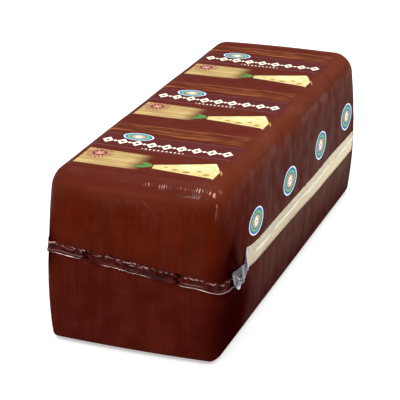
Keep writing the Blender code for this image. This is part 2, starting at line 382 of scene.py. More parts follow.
def round_the_end(t, z):
    """How far round the nearer end a point of the block lies, at height z."""
    radius = side_radius(z)
    flat = WIDTH / 2 - radius
    half_corner = math.pi / 8 * (radius + END_RADIUS)
    run = flat * min(1.0, abs(t.x)) + half_corner * max(0.0, abs(t.x) - 1)
    if on_face(t.x):
        run += half_corner * min(1.0, BLOCK - abs(t.y))
        run += FLAT_HALF_LENGTH * max(0.0, 1 - abs(t.y))
    return math.copysign(run, t.x)


def girth_distance(past_flat, z):
    """The distance on the girth of a point so far past the flat of the end."""
    return WIDTH / 2 - side_radius(z) + past_flat


def off_skin(end, distance, z, stand_off):
    """A point that stands off the skin, beside the loaf's front or back end."""
    t_x, t_y = girth_to_block(distance, z)
    point, out = skin(t_x, -end * t_y, height_to_t(z))
    return point + stand_off * out


def seal_height(distance):
    """Height of the seal's middle line, which slants across the end."""
    droop = SEAL_DROOP * max(0.0, distance - DROOP_START)
    droop += LEFT_DROOP * max(0.0, -distance - LEFT_DROOP_START)
    droop += CORNER_DIP * bell(distance - CORNER_DISTANCE, CORNER_REACH)
    droop -= SEAL_BOW * smooth((BOW_START - distance) / BOW_LENGTH)
    return SEAL_MIDDLE - SEAL_SLOPE * distance - droop


def seal_end(end, side):
    """Where the seal stops on the girth, just short of an ear."""
    past_flat = EAR_SPANS[end, side][0] - EAR_SPACE
    middle = seal_height(side * girth_distance(past_flat, SEAL_MIDDLE))
    return side * girth_distance(past_flat, middle + SEAL_HEIGHT / 2)


def pinch(end, distance):
    """1 where the seal's lip is pinched flat, 0 away from there."""
    return max(bell(distance - place, PINCH_REACH) for place in PINCHES[end])


def ear_root(end, side):
    """The middle of an ear's upper edge: its distance round the end, its height."""
    start, stop = EAR_SPANS[end, side]
    distance = side * girth_distance((start + stop) / 2, SEAL_MIDDLE)
    return distance, seal_height(distance) + SEAL_HEIGHT / 2


# --- How the film lies on the loaf


def waver(*places):
    """Soft noise from -1 to 1 on one to three places, each in its own unit.

    The last place is often a plain number, to read another part of the noise.
    """
    return noise.noise(Vector((*places, 0.37, 0.71)[:3]))


def nearer_end(y):
    return BACK if y > 0 else FRONT


def ear_folds(end, distance, z):
    """Folds that spread out from the ears at one end."""
    folds = 0.0
    for side in (LEFT, RIGHT):
        root, root_z = ear_root(end, side)
        away = math.hypot(distance - root, z - root_z)
        turn = math.atan2(z - root_z, (distance - root) * side)
        wander = FAN_WANDER * waver(away / FAN_WANDER_PITCH, side, end)
        ridge = math.sin(FAN_FOLDS * turn + wander)
        folds += FAN * ridge * smooth(away / FAN_START) * bell(away, FAN_REACH)
    return folds


def by_top_edge(x, z, end, along):
    """1 on the pleated top edge of an end, more to the +X side of the front one."""
    middle_edge = FLAT_HALF_LENGTH + END_RADIUS * math.pi / 4
    below_row = abs(along) - middle_edge + PLEAT_RISE
    reach = PLEAT_REACH * (1.0 if below_row > 0 else PLEAT_UPPER_SHARE)
    below_row += PLEAT_WANDER * waver(x / PLEAT_WANDER_PITCH, 3.7 * end)
    place = x * -end
    crowded = max(strength * bell(place - at, wide) for at, wide, strength in PLEAT_GROUPS)
    row = bell(below_row, reach * (0.6 + 0.6 * crowded))
    return crowded * row * rise(z, *PLEAT_HEIGHTS)


def pleat(x, end, along):
    """1 on the crest of each pleat, which are uneven, and 0 between them."""
    shift = PLEAT_SHIFT * waver(x / PLEAT_SHIFT_PITCH, along / PLEAT_LENGTH, end)
    count = x / PLEAT_PITCH + shift
    uneven = smooth(1 + waver(x / UNEVEN_PITCH, along / UNEVEN_LENGTH, 5.7))
    return (0.5 + 0.5 * math.cos(math.tau * count)) ** 2 * uneven


def drag_mark(x, z, end):
    """1 on the slanting marks where the film was drawn down to the +X corner."""
    turn = math.radians(DRAG_SLOPE)
    across = x * math.sin(turn) + z * math.cos(turn)
    down = x * math.cos(turn) - z * math.sin(turn)
    mark = smooth(0.10 + 1.6 * waver(across / DRAG_PITCH, down / DRAG_LENGTH, 2.9 * end))
    beside_pleats = rise(z, *DRAG_LOWEST) * rise(z, *DRAG_HIGHEST)
    return mark * bell(x * -end - DRAG_MIDDLE, DRAG_REACH) * beside_pleats


def side_ripple(t, y, z):
    """-1 to 1 over the ripples of a long side, which come in patches."""
    ripple = waver(y / SIDE_RIPPLE_PITCH, z / SIDE_RIPPLE_LENGTH, 3.1 + t.x)
    patch_length, patch_height = RIPPLE_PATCH
    patch = smooth(0.7 + 1.2 * waver(y / patch_length, z / patch_height, 1.9 + t.x))
    return ripple * patch * blend(FAINT_RIPPLE, 1.0, rise(z, *RIPPLE_HEIGHTS))


def film_lift(t, point, out, along):
    """How far the film stands off the smooth loaf."""
    x, y, z = point
    end = nearer_end(y)
    distance = round_the_end(t, z)
    above_seal = abs(z - seal_height(distance))
    upright = 1 - out.z**2

    slack = SLACK * waver(*(point / SLACK_SIZE))
    ripple = SIDE_RIPPLE * out.x**2 * side_ripple(t, y, z)
    comb = waver(distance / PULL_PITCH, z / PULL_LENGTH, 7.3 * end)
    pull = PULL * comb * math.exp(-above_seal / PULL_REACH)
    pull *= rise(abs(distance), *PULL_WIDTH) * upright
    pleats = PLEAT * pleat(x, end, along) * by_top_edge(x, z, end, along)
    folds = ear_folds(end, distance, z) * upright
    return smooth(z / SETTLED_HEIGHT) * (slack + ripple + pull + pleats + folds)


def dullness(t, z, hollow_shade):
    """How much gloss is lost at the clear side's front, at its foot and in a hollow."""
    behind_front = (t.y + 1) * FLAT_HALF_LENGTH
    front = FRONT_DULL * smooth(1 - behind_front / TAUT_LENGTH) * rise(t.x, 1.0, 1.6)
    front *= 1 - 0.3 * rise(z, *FRONT_DULL_HEIGHTS)
    foot = FOOT_DULL * rise(z, *FOOT_HEIGHTS) * smooth(t.x - 1)
    return max(front, smooth(1.5 * hollow_shade), foot)


def long_edge(t, y, across):
    """1 in patches along the long top edges."""
    edge = bell(abs(t.x) - 1.9, 0.7) * rise(t.z, 0.9, 1.2) * smooth(2 - abs(t.y))
    length, width = LONG_PATCH
    return edge * smooth(0.4 + 1.6 * waver(y / length, across / width, 4.3))


def upright_edge(t, z, across, end):
    """1 in patches down the top of each upright edge."""
    edge = rise(min(abs(t.x), abs(t.y)), 1.62, BLOCK) * rise(z, *CORNER_HEIGHTS)
    height, width = CORNER_PATCH
    return edge * smooth(0.5 + 1.5 * waver(z / height, across / width, 6.6 * end))


def film_gloss(t, point, across, along, hollow_shade):
    """How glossy the film is: most where it is gathered, least over a hollow."""
    x, y, z = point
    end = nearer_end(y)
    on_end = smooth(abs(t.y) - 1)
    crests = smooth(ear_folds(end, round_the_end(t, z), z) / (0.6 * FAN))
    gathered = by_top_edge(x, z, end, along) * 1.2 * pleat(x, end, along)
    marks = drag_mark(x, z, end) * on_end * (1 - gathered)
    gloss = TAUT_GLOSS * (1 - 0.2 * on_end) * (1 - dullness(t, z, hollow_shade))
    gloss += GATHERED_GLOSS * max(gathered, 0.03 * crests) + DRAG_GLOSS * marks
    gloss += EDGE_GLOSS * long_edge(t, y, across)
    return gloss + CORNER_GLOSS * upright_edge(t, z, across, end)


def painted_hollow_shade(t, point):
    """1 where painted shade darkens the film over a hollow by an ear, 0 where it clings."""
    _, y, z = point
    end = nearer_end(y)
    distance = round_the_end(t, z)
    deepest = 0.0
    for side in (LEFT, RIGHT):
        root, root_z = ear_root(end, side)
        ahead = (distance - root) * side + HOLLOW_LEAD
        above = z - root_z - HOLLOW_RISE
        climb = HOLLOW_CLIMB if above > 0 and side == RIGHT else HOLLOW_HEIGHT
        hollow_shade = bell(ahead, HOLLOW_LENGTH) * bell(above, climb)
        ahead = (distance - root) * side + SHADE_LEAD
        shade = bell(ahead, SHADE_LENGTH) * bell(z - root_z + SHADE_DROP, SHADE_HEIGHT)
        deepest = max(deepest, hollow_shade, SHADE[side] * shade)
    return deepest


# --- Making meshes

# How finely the block is cut for the film's face, its back and the cheese
FACE_DETAIL = 1.0
BACK_DETAIL = 0.16
LOAF_DETAIL = 0.30
PLEATED = (0.97, 0.9)  # finer across past these block coordinates, along and up
PLEATED_CUTS = 2

# Columns and rows of the sheets
STRIPE_CELLS = (300, 34)
SEAL_CELLS = (520, 36)
EAR_CELLS = (90, 56)


def stations(*knots):
    """Places along one axis: each knot is a place and the cells to the next."""
    places = []
    for (low, cells), (high, _) in zip(knots, knots[1:]):
        places += [blend(low, high, cell / cells) for cell in range(cells)]
    return places + [knots[-1][0]]


def film_stations(detail):
    """The block's stations on its three axes, finer as the detail grows."""
    front, back, low, high = stripe_limits()

    def cells(count):
        return max(2, round(count * detail))

    return (
        stations((-2, cells(14)), (-1, cells(110)), (1, cells(14)), (2, 0)),
        stations(
            (-2, cells(12)),
            (-1, cells(20)),
            (front, cells(74)),
            (1, cells(5)),
            (back, cells(4)),
            (2, 0),
        ),
        stations(
            (-2, cells(5)),
            (-1, cells(20)),
            (low, cells(12)),
            (high, cells(42)),
            (1, cells(14)),
            (2, 0),
        ),
    )


def make_block(grids):
    """The plain block, its faces cut into cells at the stations of each axis."""
    bm = bmesh.new()
    bmesh.ops.create_cube(bm, size=2 * BLOCK)
    for axis, places in enumerate(grids):
        edges = [edge for edge in bm.edges if spans_axis(edge, axis)]
        bmesh.ops.subdivide_edges(bm, edges=edges, cuts=len(places) - 2, use_grid_fill=True)
    for vert in bm.verts:
        for axis, places in enumerate(grids):
            share = (vert.co[axis] / BLOCK + 1) / 2
            vert.co[axis] = places[round(share * (len(places) - 1))]
    return bm


def spans_axis(edge, axis):
    first, second = edge.verts
    return abs(first.co[axis] - second.co[axis]) > TINY


def refine(bm, axis, cuts, wanted):
    """Cuts the cells finer along one axis, in the part of the block that is wanted."""
    edges = [edge for edge in bm.edges if spans_axis(edge, axis) and wanted(middle(edge))]
    bmesh.ops.subdivide_edges(bm, edges=edges, cuts=cuts, use_grid_fill=True)


def middle(edge):
    first, second = edge.verts
    return (first.co + second.co) / 2


def open_stripe(bm):
    """Takes the clear stripe's cells out of the block."""
    front, back, low, high = stripe_limits()
    stripe = []
    for face in bm.faces:
        place = face.calc_center_median()
        if place.x > BLOCK - TINY and front < place.y < back and low < place.z < high:
            stripe.append(face)
    bmesh.ops.delete(bm, geom=stripe, context="FACES")


def lay_on_loaf(bm, inset, wrinkled):
    """Wraps the block's vertices round the loaf and notes the unrolled film's places."""
    film = bm.verts.layers.float_vector.new("film")
    gloss = bm.verts.layers.float.new("gloss")
    for vert in bm.verts:
        t = vert.co.copy()
        point, out = skin(t.x, t.y, sink(t.y, t.z))
        across, along = unroll(t)
        # The film attribute's third number is the painted shade of the hollows by the ears
        hollow_shade = painted_hollow_shade(t, point)
        vert[film] = (across, along, hollow_shade)
        vert[gloss] = film_gloss(t, point, across, along, hollow_shade)
        lift = film_lift(t, point, out, along) if wrinkled else 0.0
        vert.co = point + (lift - inset) * out


def join(bm, other):
    """Adds another bmesh's shape to the first, and frees the other."""
    mesh = bpy.data.meshes.new("joined")
    other.to_mesh(mesh)
    other.free()
    bm.from_mesh(mesh)
    bpy.data.meshes.remove(mesh)


def make_sheet(columns, rows, place, mirrored=False):
    """A grid laid by place(along, down), both from 0 to 1.

    The place function gives a point and how strongly the film is creased there, which its
    finish shows as milky colour and painted highlights.
    A mirrored sheet has its columns reversed, so that it faces out as well.
    """
    bm = bmesh.new()
    bmesh.ops.create_grid(bm, x_segments=columns, y_segments=rows, size=0.5)
    sheet = bm.verts.layers.float_vector.new("sheet")
    for vert in bm.verts:
        along = 0.5 - vert.co.x if mirrored else 0.5 + vert.co.x
        down = 0.5 - vert.co.y
        vert.co, crease_glint = place(along, down)
        vert[sheet] = (along, down, crease_glint)
    return bm


def dress(name, bm, material, slot, *nodes):
    """Makes a piece of a bmesh, in place of the solids that it stands for."""
    mesh = bpy.data.meshes.new(name)
    bm.to_mesh(mesh)
    bm.free()
    mesh.materials.append(material)
    mesh.shade_smooth()
    mesh.set_sharp_from_angle(angle=math.radians(SHARP_ANGLE))
    piece = bpy.data.objects.new(name, mesh)
    bpy.context.scene.collection.objects.link(piece)
    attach(piece, "root")
    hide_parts(*nodes)
    return piece


def thicken(piece, thickness, outwards=True):
    wall = piece.modifiers.new("Thickness", "SOLIDIFY")
    wall.thickness = thickness
    wall.offset = 1 if outwards else -1


# --- Finishes: shader values written as Python expressions


def screen(red, green, blue):
    """A colour as a screen shows it, 0 to 255, turned into linear light."""

    def channel(level):
        level /= 255
        return level / 12.92 if level <= 0.04045 else ((level + 0.055) / 1.055) ** 2.4

    return (channel(red), channel(green), channel(blue), 1.0)


class Field:
    """A value that varies over a surface. Arithmetic on it adds Math nodes."""

    def __init__(self, finish, socket):
        self.finish = finish
        self.socket = socket

    def __add__(self, other):
        return self.finish.math("ADD", self, other)

    def __sub__(self, other):
        return self.finish.math("SUBTRACT", self, other)

    def __rsub__(self, other):
        return self.finish.math("SUBTRACT", other, self)

    def __mul__(self, other):
        return self.finish.math("MULTIPLY", self, other)

    def __truediv__(self, other):
        return self.finish.math("DIVIDE", self, other)

    def __pow__(self, power):
        return self.finish.math("POWER", self, power)

    def __abs__(self):
        return self.finish.math("ABSOLUTE", self)

    __radd__ = __add__
    __rmul__ = __mul__


class Finish:
    """One material: a Principled shader and the fields that feed it."""

    def __init__(self, name, **uniform):
        self.material = bpy.data.materials.new(name)
        self.material.use_nodes = True
        self.tree = self.material.node_tree
        self.shader = self.tree.nodes["Principled BSDF"]
        for socket, value in uniform.items():
            self.shader.inputs[socket.replace("_", " ")].default_value = value

    def node(self, kind, settings, inputs, output=0):
        """Adds a node: first its settings, then its sockets' values or links."""
        node = self.tree.nodes.new(kind)
        for name, setting in settings.items():
            setattr(node, name, setting)
        for name, value in inputs.items():
            self.feed(node.inputs[name], value)
        return Field(self, node.outputs[output])

    def feed(self, socket, value):
        if isinstance(value, Field):
            self.tree.links.new(value.socket, socket)
        else:
            socket.default_value = value

    def feed_shader(self, **fields):
        for socket, field in fields.items():
            self.feed(self.shader.inputs[socket.replace("_", " ")], field)

    def math(self, operation, *values):
        settings = {"operation": operation}
        return self.node("ShaderNodeMath", settings, dict(enumerate(values)))

    def parts(self, vector):
        """The three numbers of a vector."""
        first = self.node("ShaderNodeSeparateXYZ", {}, {"Vector": vector})
        return [Field(self, socket) for socket in first.socket.node.outputs]

    def attribute(self, name, output="Vector"):
        return self.node("ShaderNodeAttribute", {"attribute_name": name}, {}, output)

    def place(self):
        """The surface's own place, in metres."""
        return self.node("ShaderNodeTexCoord", {}, {}, "Object")

    def stretch(self, vector, *factors):
        """A vector with each of its numbers multiplied."""
        settings = {"operation": "MULTIPLY"}
        return self.node("ShaderNodeVectorMath", settings, {0: vector, 1: factors})

    def plane(self, u, v):
        return self.node("ShaderNodeCombineXYZ", {}, {"X": u, "Y": v})

    def noise(self, vector, scale=1.0, detail=2.0, roughness=0.5):
        inputs = {"Vector": vector, "Scale": scale, "Detail": detail, "Roughness": roughness}
        return self.node("ShaderNodeTexNoise", {}, inputs)

    def drawn(self, vector, x_scale, y_scale, z_scale, detail=2.0):
        """Noise that is drawn out along an axis, with a scale for each."""
        return self.noise(self.stretch(vector, x_scale, y_scale, z_scale), 1.0, detail)

    def ease(self, value, low, high, start=0.0, stop=1.0):
        """Goes smoothly from start to stop as the value goes from low to high."""
        inputs = {
            "Value": value,
            "From Min": low,
            "From Max": high,
            "To Min": start,
            "To Max": stop,
        }
        settings = {"interpolation_type": "SMOOTHSTEP"}
        return self.node("ShaderNodeMapRange", settings, inputs)

    def mix(self, share, first, second):
        """A colour between two others."""
        settings = {"data_type": "RGBA"}
        return self.node("ShaderNodeMix", settings, {0: share, 6: first, 7: second}, 2)

    def bump(self, height, distance, strength=1.0):
        inputs = {"Height": height, "Distance": distance, "Strength": strength}
        return self.node("ShaderNodeBump", {}, inputs)


# --- Shapes of the print. Each gives the distance to its outline in
# millimetres, negative inside, on a flat of the film with u across and v up.

PRINT_BLUR = 0.14  # mm


def greatest(*fields):
    result = fields[0]
    for field in fields[1:]:
        result = result.finish.math("MAXIMUM", result, field)
    return result


def least(*fields):
    result = fields[0]
    for field in fields[1:]:
        result = result.finish.math("MINIMUM", result, field)
    return result


def inside(distance, blur=PRINT_BLUR):
    """1 inside an outline, 0 outside it."""
    return distance.finish.ease(distance, -blur, blur, 1.0, 0.0)


def paint(ground, outline, colour, strength=1.0, blur=PRINT_BLUR):
    """Lays a colour on the ground inside an outline."""
    covered = inside(outline, blur)
    if strength < 1:
        covered = covered * strength
    return outline.finish.mix(covered, ground, colour)


def box(u, v, left, right, low, high):
    beside = abs(u - (left + right) / 2) - (right - left) / 2
    above = abs(v - (low + high) / 2) - (high - low) / 2
    return greatest(beside, above)


def oval_reach(u, v, half_width, half_height):
    """1 on the rim of an oval and 0 at its middle."""
    return ((u / half_width) ** 2 + (v / half_height) ** 2) ** 0.5


def ellipse(u, v, half_width, half_height):
    return (oval_reach(u, v, half_width, half_height) - 1) * min(half_width, half_height)


def lozenge(u, v, half_width, half_height):
    return (abs(u) / half_width + abs(v) / half_height - 1) * min(half_width, half_height)


def polygon(u, v, *corners):
    """A convex outline through corners given anticlockwise."""
    sides = []
    for (u0, v0), (u1, v1) in zip(corners, corners[1:] + corners[:1]):
        length = math.dist((u0, v0), (u1, v1))
        out_u, out_v = (v1 - v0) / length, (u0 - u1) / length
        sides.append(u * out_u + (v * out_v - (u0 * out_u + v0 * out_v)))
    return greatest(*sides)


def from_middle(u, v):
    return (u * u + v * v) ** 0.5


def flower(u, v, reach, petals):
    """A round flower of plain petals."""
    angle = u.finish.math("ARCTAN2", v, u)
    petal = u.finish.math("COSINE", angle * petals)
    return from_middle(u, v) - (0.74 + 0.26 * petal) * reach


def leaf(u, v, length, width, degrees):
    """A pointed leaf that grows from 0, 0 at an angle."""
    turn = math.radians(degrees)
    run = u * math.cos(turn) + v * math.sin(turn) - length / 2
    off = v * math.cos(turn) - u * math.sin(turn)
    half, bulge = length / 2, width / 2
    radius = (half**2 + bulge**2) / (2 * bulge)
    return (run * run + (abs(off) + (radius - bulge)) ** 2) ** 0.5 - radius


def repeat(u, pitch):
    """Folds a coordinate into one pitch, centred on 0."""
    return u.finish.math("WRAP", u, pitch / 2, -pitch / 2)


# --- The print's colours

CREAM = screen(244, 232, 208)
WHITE = screen(250, 250, 252)
RIM_BLUE = screen(214, 226, 240)
SKY_BLUE = screen(52, 104, 160)
LEAF_GREEN = screen(84, 140, 84)
PALE_GREEN = screen(160, 200, 132)
TAN = screen(196, 150, 108)
LABEL_GROUND = screen(80, 28, 20)
PLUM = screen(80, 34, 34)
PLUM_LINE = screen(132, 82, 74)
BEIGE_LIGHT = screen(184, 160, 108)
BEIGE_DARK = screen(150, 122, 76)
BEIGE_INK = screen(110, 74, 44)
ROSETTE = screen(108, 50, 42)
ROSETTE_LIGHT = screen(190, 136, 120)
HERB_GREEN = screen(74, 118, 62)
HERB_PALE = screen(122, 152, 92)
CHEESE_LIGHT = screen(206, 198, 150)
CHEESE_SHADE = screen(188, 168, 102)
CHEESE_DARK = screen(160, 124, 62)
WOOD_DARK = screen(76, 30, 18)
WOOD_LIGHT = screen(160, 96, 56)

LABEL_PITCH = 90.7
LABEL_MIDDLE = -98.0
LABEL_HALF_WIDTH = 52.0
DUSKY = 0.85  # how strongly the label's ground darkens the film
DUSKY_FADE = (36.0, 50.0)
LABEL_OVAL = (9.6, 5.8)  # half its width and height
LABELLED_BOX = (-66, 66, -147.0, 131.0)  # left, right, front and back

MEDALLION_ACROSS = 85.8
MEDALLION_PITCH = 65.7
MEDALLION_FIRST = -81.0
MEDALLION_LATE = 3.6  # the third one sits this much further back
MEDALLION_LOW = 1.6  # and the first one this much lower
MEDALLIONS = 4
SIDE_OVAL = (12.9, 8.4)

# An oval's rings, as shares of the way out to its rim
FIELD_RIM = 0.91
WREATH_RING = 0.655
WREATH_HALF = 0.105
STEM_HALF = 0.025
DISC_RIM = 0.46
PETAL_REACH = 0.40
HEART_REACH = 0.13
LEAFINESS = 0.035
LEAFLETS = 18
PETALS = 9


def medallion(ground, u, v, half_width, half_height):
    """An oval with a pale rim: a daisy on a tan disc in a wreath of leaves."""
    finish = u.finish
    reach = oval_reach(u, v, half_width, half_height)
    angle = finish.math("ARCTAN2", v / half_height, u / half_width)
    leafy = reach + LEAFINESS * finish.math("COSINE", angle * LEAFLETS)

    def within(rim):
        return (reach - rim) * half_height

    def ring(half_breadth):
        return (abs(leafy - WREATH_RING) - half_breadth) * half_height

    heart = HEART_REACH * half_height
    inner = paint(SKY_BLUE, ring(WREATH_HALF), LEAF_GREEN)
    inner = paint(inner, ring(STEM_HALF), PALE_GREEN)
    inner = paint(inner, within(DISC_RIM), TAN)
    inner = paint(inner, flower(u, v, PETAL_REACH * half_height, PETALS), WHITE)
    inner = paint(inner, ellipse(u, v, heart, heart), BEIGE_DARK)
    return paint(ground, within(1), paint(RIM_BLUE, within(FIELD_RIM), inner))


# Boxes are given as left, right, low and high
WOOD_BOX = (-52, 42, 25, 39)
PLANK_PITCH = 7.2
JOINT_HALF = 0.22


def wood_band(ground, u, v):
    """Weathered planks with the grain running across the loaf."""
    finish = u.finish
    waves = finish.noise(finish.plane(u * 0.035, v * 0.06))
    grain = finish.plane(u * 0.016, v * 0.30 + waves * 2.4)
    streaks = finish.noise(grain, 1.0, 4.0, 0.62)
    fine = finish.noise(grain, 3.7)
    light = finish.ease(streaks * 0.7 + fine * 0.3, 0.44, 0.66)
    planks = finish.mix(light, WOOD_DARK, WOOD_LIGHT)
    joints = abs(repeat(v - 1.5, PLANK_PITCH)) - JOINT_HALF
    planks = paint(planks, joints, WOOD_DARK, 0.5)
    return paint(ground, box(u, v, *WOOD_BOX), planks, 0.8, blur=1.6)


BANNER_BOX = (-47, 44, -2.4, 22)
LOW_RULE, HIGH_RULE = (-0.2, 0.22), (20.6, 0.16)  # how far up, and half as thick
RULES_HALF = 44
ROW_UP = 8.6
ROW_PITCH = 9.4
ROW_HALF = 41.2
LOZENGE, LOZENGE_HOLE, DOT = (3.4, 4.4), (1.3, 1.8), (1.0, 1.1)
BEADS_UP = 1.6
BEAD_PITCH = 2.6
BEADS_HALF = 13
BEAD = (0.7, 0.7)


def banner(ground, u, v):
    """A dusky band with a row of lozenges and dots between thin rules."""
    finish = u.finish
    shown = paint(ground, box(u, v, *BANNER_BOX), PLUM, 0.9, blur=0.5)
    rules = inside(least(*(abs(v - up) - half for up, half in (LOW_RULE, HIGH_RULE))))
    shown = finish.mix(rules * inside(abs(u + 1.5) - RULES_HALF) * 0.8, shown, PLUM_LINE)
    column = repeat(u, ROW_PITCH)
    between = repeat(u + ROW_PITCH / 2, ROW_PITCH)
    above = v - ROW_UP
    row = least(lozenge(column, above, *LOZENGE), ellipse(between, above, *DOT))
    row = greatest(row, -1 * lozenge(column, above, *LOZENGE_HOLE))
    shown = finish.mix(inside(row) * inside(abs(u) - ROW_HALF), shown, CREAM)
    beads = ellipse(repeat(u, BEAD_PITCH), v - BEADS_UP, *BEAD)
    return finish.mix(inside(beads) * inside(abs(u) - BEADS_HALF) * 0.9, shown, CREAM)


PANEL_BOX = (-42, 2, -33, -7.6)
PANEL_RULES = (
    (-38, -9, -13.8, -13.2),
    (-34, -13, -18.4, -17.8),
    (-38, -9, -23.0, -22.4),
    (-31, -17, -27.6, -27.0),
)


def panel(ground, u, v):
    """A beige panel that fades out at one end, with a few plain rules."""
    finish = u.finish
    grain = finish.noise(finish.plane(u * 0.03, v * 0.30), 1.0, 3.0)
    beige = finish.mix(finish.ease(grain, 0.3, 0.7), BEIGE_DARK, BEIGE_LIGHT)
    rules = least(*(box(u, v, *rule) for rule in PANEL_RULES))
    beige = paint(beige, rules, BEIGE_INK, 0.75)
    fade = finish.ease(u, -13.0, 0.0, 1.0, 0.0)
    return finish.mix(inside(box(u, v, *PANEL_BOX)) * fade, ground, beige)


# Reach and number of petals of the rosette and its heart, and its rings' reach
# and half thickness
ROSETTE_EDGE, ROSETTE_HEART = (8.6, 20), (3.4, 6)
ROSETTE_RINGS = ((5.9, 0.28), (4.7, 0.16))


def rosette(ground, u, v):
    """A scalloped round with rings, in dull pink."""
    reach = from_middle(u, v)
    rings = [abs(reach - at) - half for at, half in ROSETTE_RINGS]
    rings = least(*rings, flower(u, v, *ROSETTE_HEART))
    return paint(ground, flower(u, v, *ROSETTE_EDGE), paint(ROSETTE, rings, ROSETTE_LIGHT))


# Corners of the wedge, and the holes in its side: across, up and radius
WEDGE_TIP, WEDGE_TIP_FOOT = (-20, -1), (-19, -7)
WEDGE_EDGE, WEDGE_FOOT = (19, 0.5), (19, -12)
WEDGE_BACK = (13, 12)
RIND_CORNERS = ((21, -10.5), (21, -1.0), (14.6, 12))
WEDGE_HOLES = (
    (-12.0, -3.0, 0.8),
    (-6.0, -4.6, 1.3),
    (1.5, -6.6, 1.8),
    (8.0, -3.4, 1.2),
    (13.5, -7.6, 1.5),
)


def wedge(ground, u, v):
    """A wedge of cheese with holes in its cut side, seen from above its tip."""
    finish = u.finish
    top = polygon(u, v, WEDGE_TIP, WEDGE_EDGE, WEDGE_BACK)
    side = polygon(u, v, WEDGE_TIP, WEDGE_TIP_FOOT, WEDGE_FOOT, WEDGE_EDGE)
    rind = polygon(u, v, WEDGE_EDGE, WEDGE_FOOT, *RIND_CORNERS, WEDGE_BACK)
    holes = least(*(ellipse(u - x, v - y, r * 1.25, r) for x, y, r in WEDGE_HOLES))
    shading = finish.noise(finish.plane(u * 0.06, v * 0.2))
    bloom = finish.noise(finish.plane(u * 0.09, v * 0.14), 1.0, 3.0)
    face = finish.mix(finish.ease(shading, 0.3, 0.7), CHEESE_SHADE, CHEESE_LIGHT)
    lit = finish.mix(finish.ease(bloom, 0.40, 0.75), CHEESE_LIGHT, CHEESE_SHADE)
    shown = paint(ground, rind, CHEESE_DARK)
    shown = paint(shown, side, paint(face, holes, CHEESE_DARK))
    return paint(shown, top, lit)


# Length, width and direction in degrees of each leaf, and its vein's slope
LEAVES = ((11, 4.6, 200), (9, 4.0, 150))
VEIN_SLOPES = (0.36, -0.58)
VEIN_HALF = 0.18


def leaves(ground, u, v):
    pair = least(*(leaf(u, v, *size) for size in LEAVES))
    veins = least(*(abs(v - u * slope) - VEIN_HALF for slope in VEIN_SLOPES))
    return paint(ground, pair, paint(HERB_GREEN, veins, HERB_PALE, 0.6))


def label_oval(ground, u, v):
    return medallion(ground, u, v, *LABEL_OVAL)


# What the label shows, in the order that it is laid down: its place across and up
LABEL_PARTS = (
    (wood_band, 0, 0),
    (banner, 0, 0),
    (panel, 0, 0),
    (rosette, -33, -14),
    (leaves, 4, -24),
    (wedge, 24, -20.5),
    (label_oval, -22, 19),
)


def top_label(ground, across, along):
    """The label that repeats along the top, read from the front."""
    finish = across.finish
    v = repeat(along - LABEL_MIDDLE, LABEL_PITCH)
    dusky = finish.ease(across, *DUSKY_FADE, DUSKY, 0.0)
    within = inside(abs(across) - LABEL_HALF_WIDTH, 5.0)
    shown = finish.mix(dusky * within, ground, LABEL_GROUND)
    for draw, right, up in LABEL_PARTS:
        shown = draw(shown, across - right, v - up)
    return paint(ground, box(across, along, *LABELLED_BOX), shown, blur=2.0)


def side_medallions(ground, across, along):
    """The row of ovals along each side, between the top edge and the stripe."""
    place = (along - MEDALLION_FIRST) / MEDALLION_PITCH
    none = place * 0
    number = across.finish.math("ROUND", place)
    number = least(greatest(number, none), none + (MEDALLIONS - 1))
    late = greatest(1 - abs(number - 2), none) * MEDALLION_LATE
    low = greatest(1 - number, none) * MEDALLION_LOW
    u = along - MEDALLION_FIRST - number * MEDALLION_PITCH - late
    v = MEDALLION_ACROSS + low - abs(across)
    return medallion(ground, u, v, *SIDE_OVAL)


# --- The finishes of the pieces

FILM_BROWN = screen(75, 19, 3)
FILM_RED = screen(63, 13, 4)
FILM_WARM = screen(96, 44, 28)
FILM_DEEP = screen(52, 9, 2)
FILM_PAINTED_SHEEN = screen(224, 166, 152)  # a painted sheen where gathered film is glossiest, partly the film turning cloudy
FILM_SEE_THROUGH_SHEEN = screen(140, 124, 98)  # a pale grey tone on the sides, partly the pale cheese showing through a little and partly a painted sheen
# Painted shade, laid over the hollows by the ears and at the foot of each side
FILM_PAINTED_SHADE = screen(33, 2, 2)
SEAL_BROWN = screen(68, 21, 18)
SEAL_DARK = screen(38, 9, 7)
# Painted highlights on the seal's creases and cut lip, and painted shade in its pinches
SEAL_GLINT = screen(178, 138, 130)
SEAL_KNOT_SHADE = screen(24, 3, 3)
CUT_EDGE_GLINT = screen(216, 188, 184)
EAR_SHADE = screen(60, 50, 56)
EAR_LILAC = screen(96, 92, 106)
EAR_MILKY_GLINT = screen(186, 180, 186)
FRONT_GREY = screen(168, 160, 156)  # the stripe's front, where the film doubles
STRIPE_VEIL = screen(206, 197, 182)
STRIPE_HIGHLIGHT = screen(232, 226, 206)
CHEESE_CREAM = screen(186, 171, 132)
CHEESE_DEEP = screen(166, 149, 108)
CHEESE_PALE = screen(218, 205, 160)
CHEESE_SLIT = screen(176, 148, 92)
FLOOR_GREY = (0.66, 0.66, 0.66, 1)
FLOOR_LIGHT_GREY = (0.69, 0.69, 0.69, 1)
FLOOR_GLOW = 0.46
METRE = 1000.0  # in millimetres


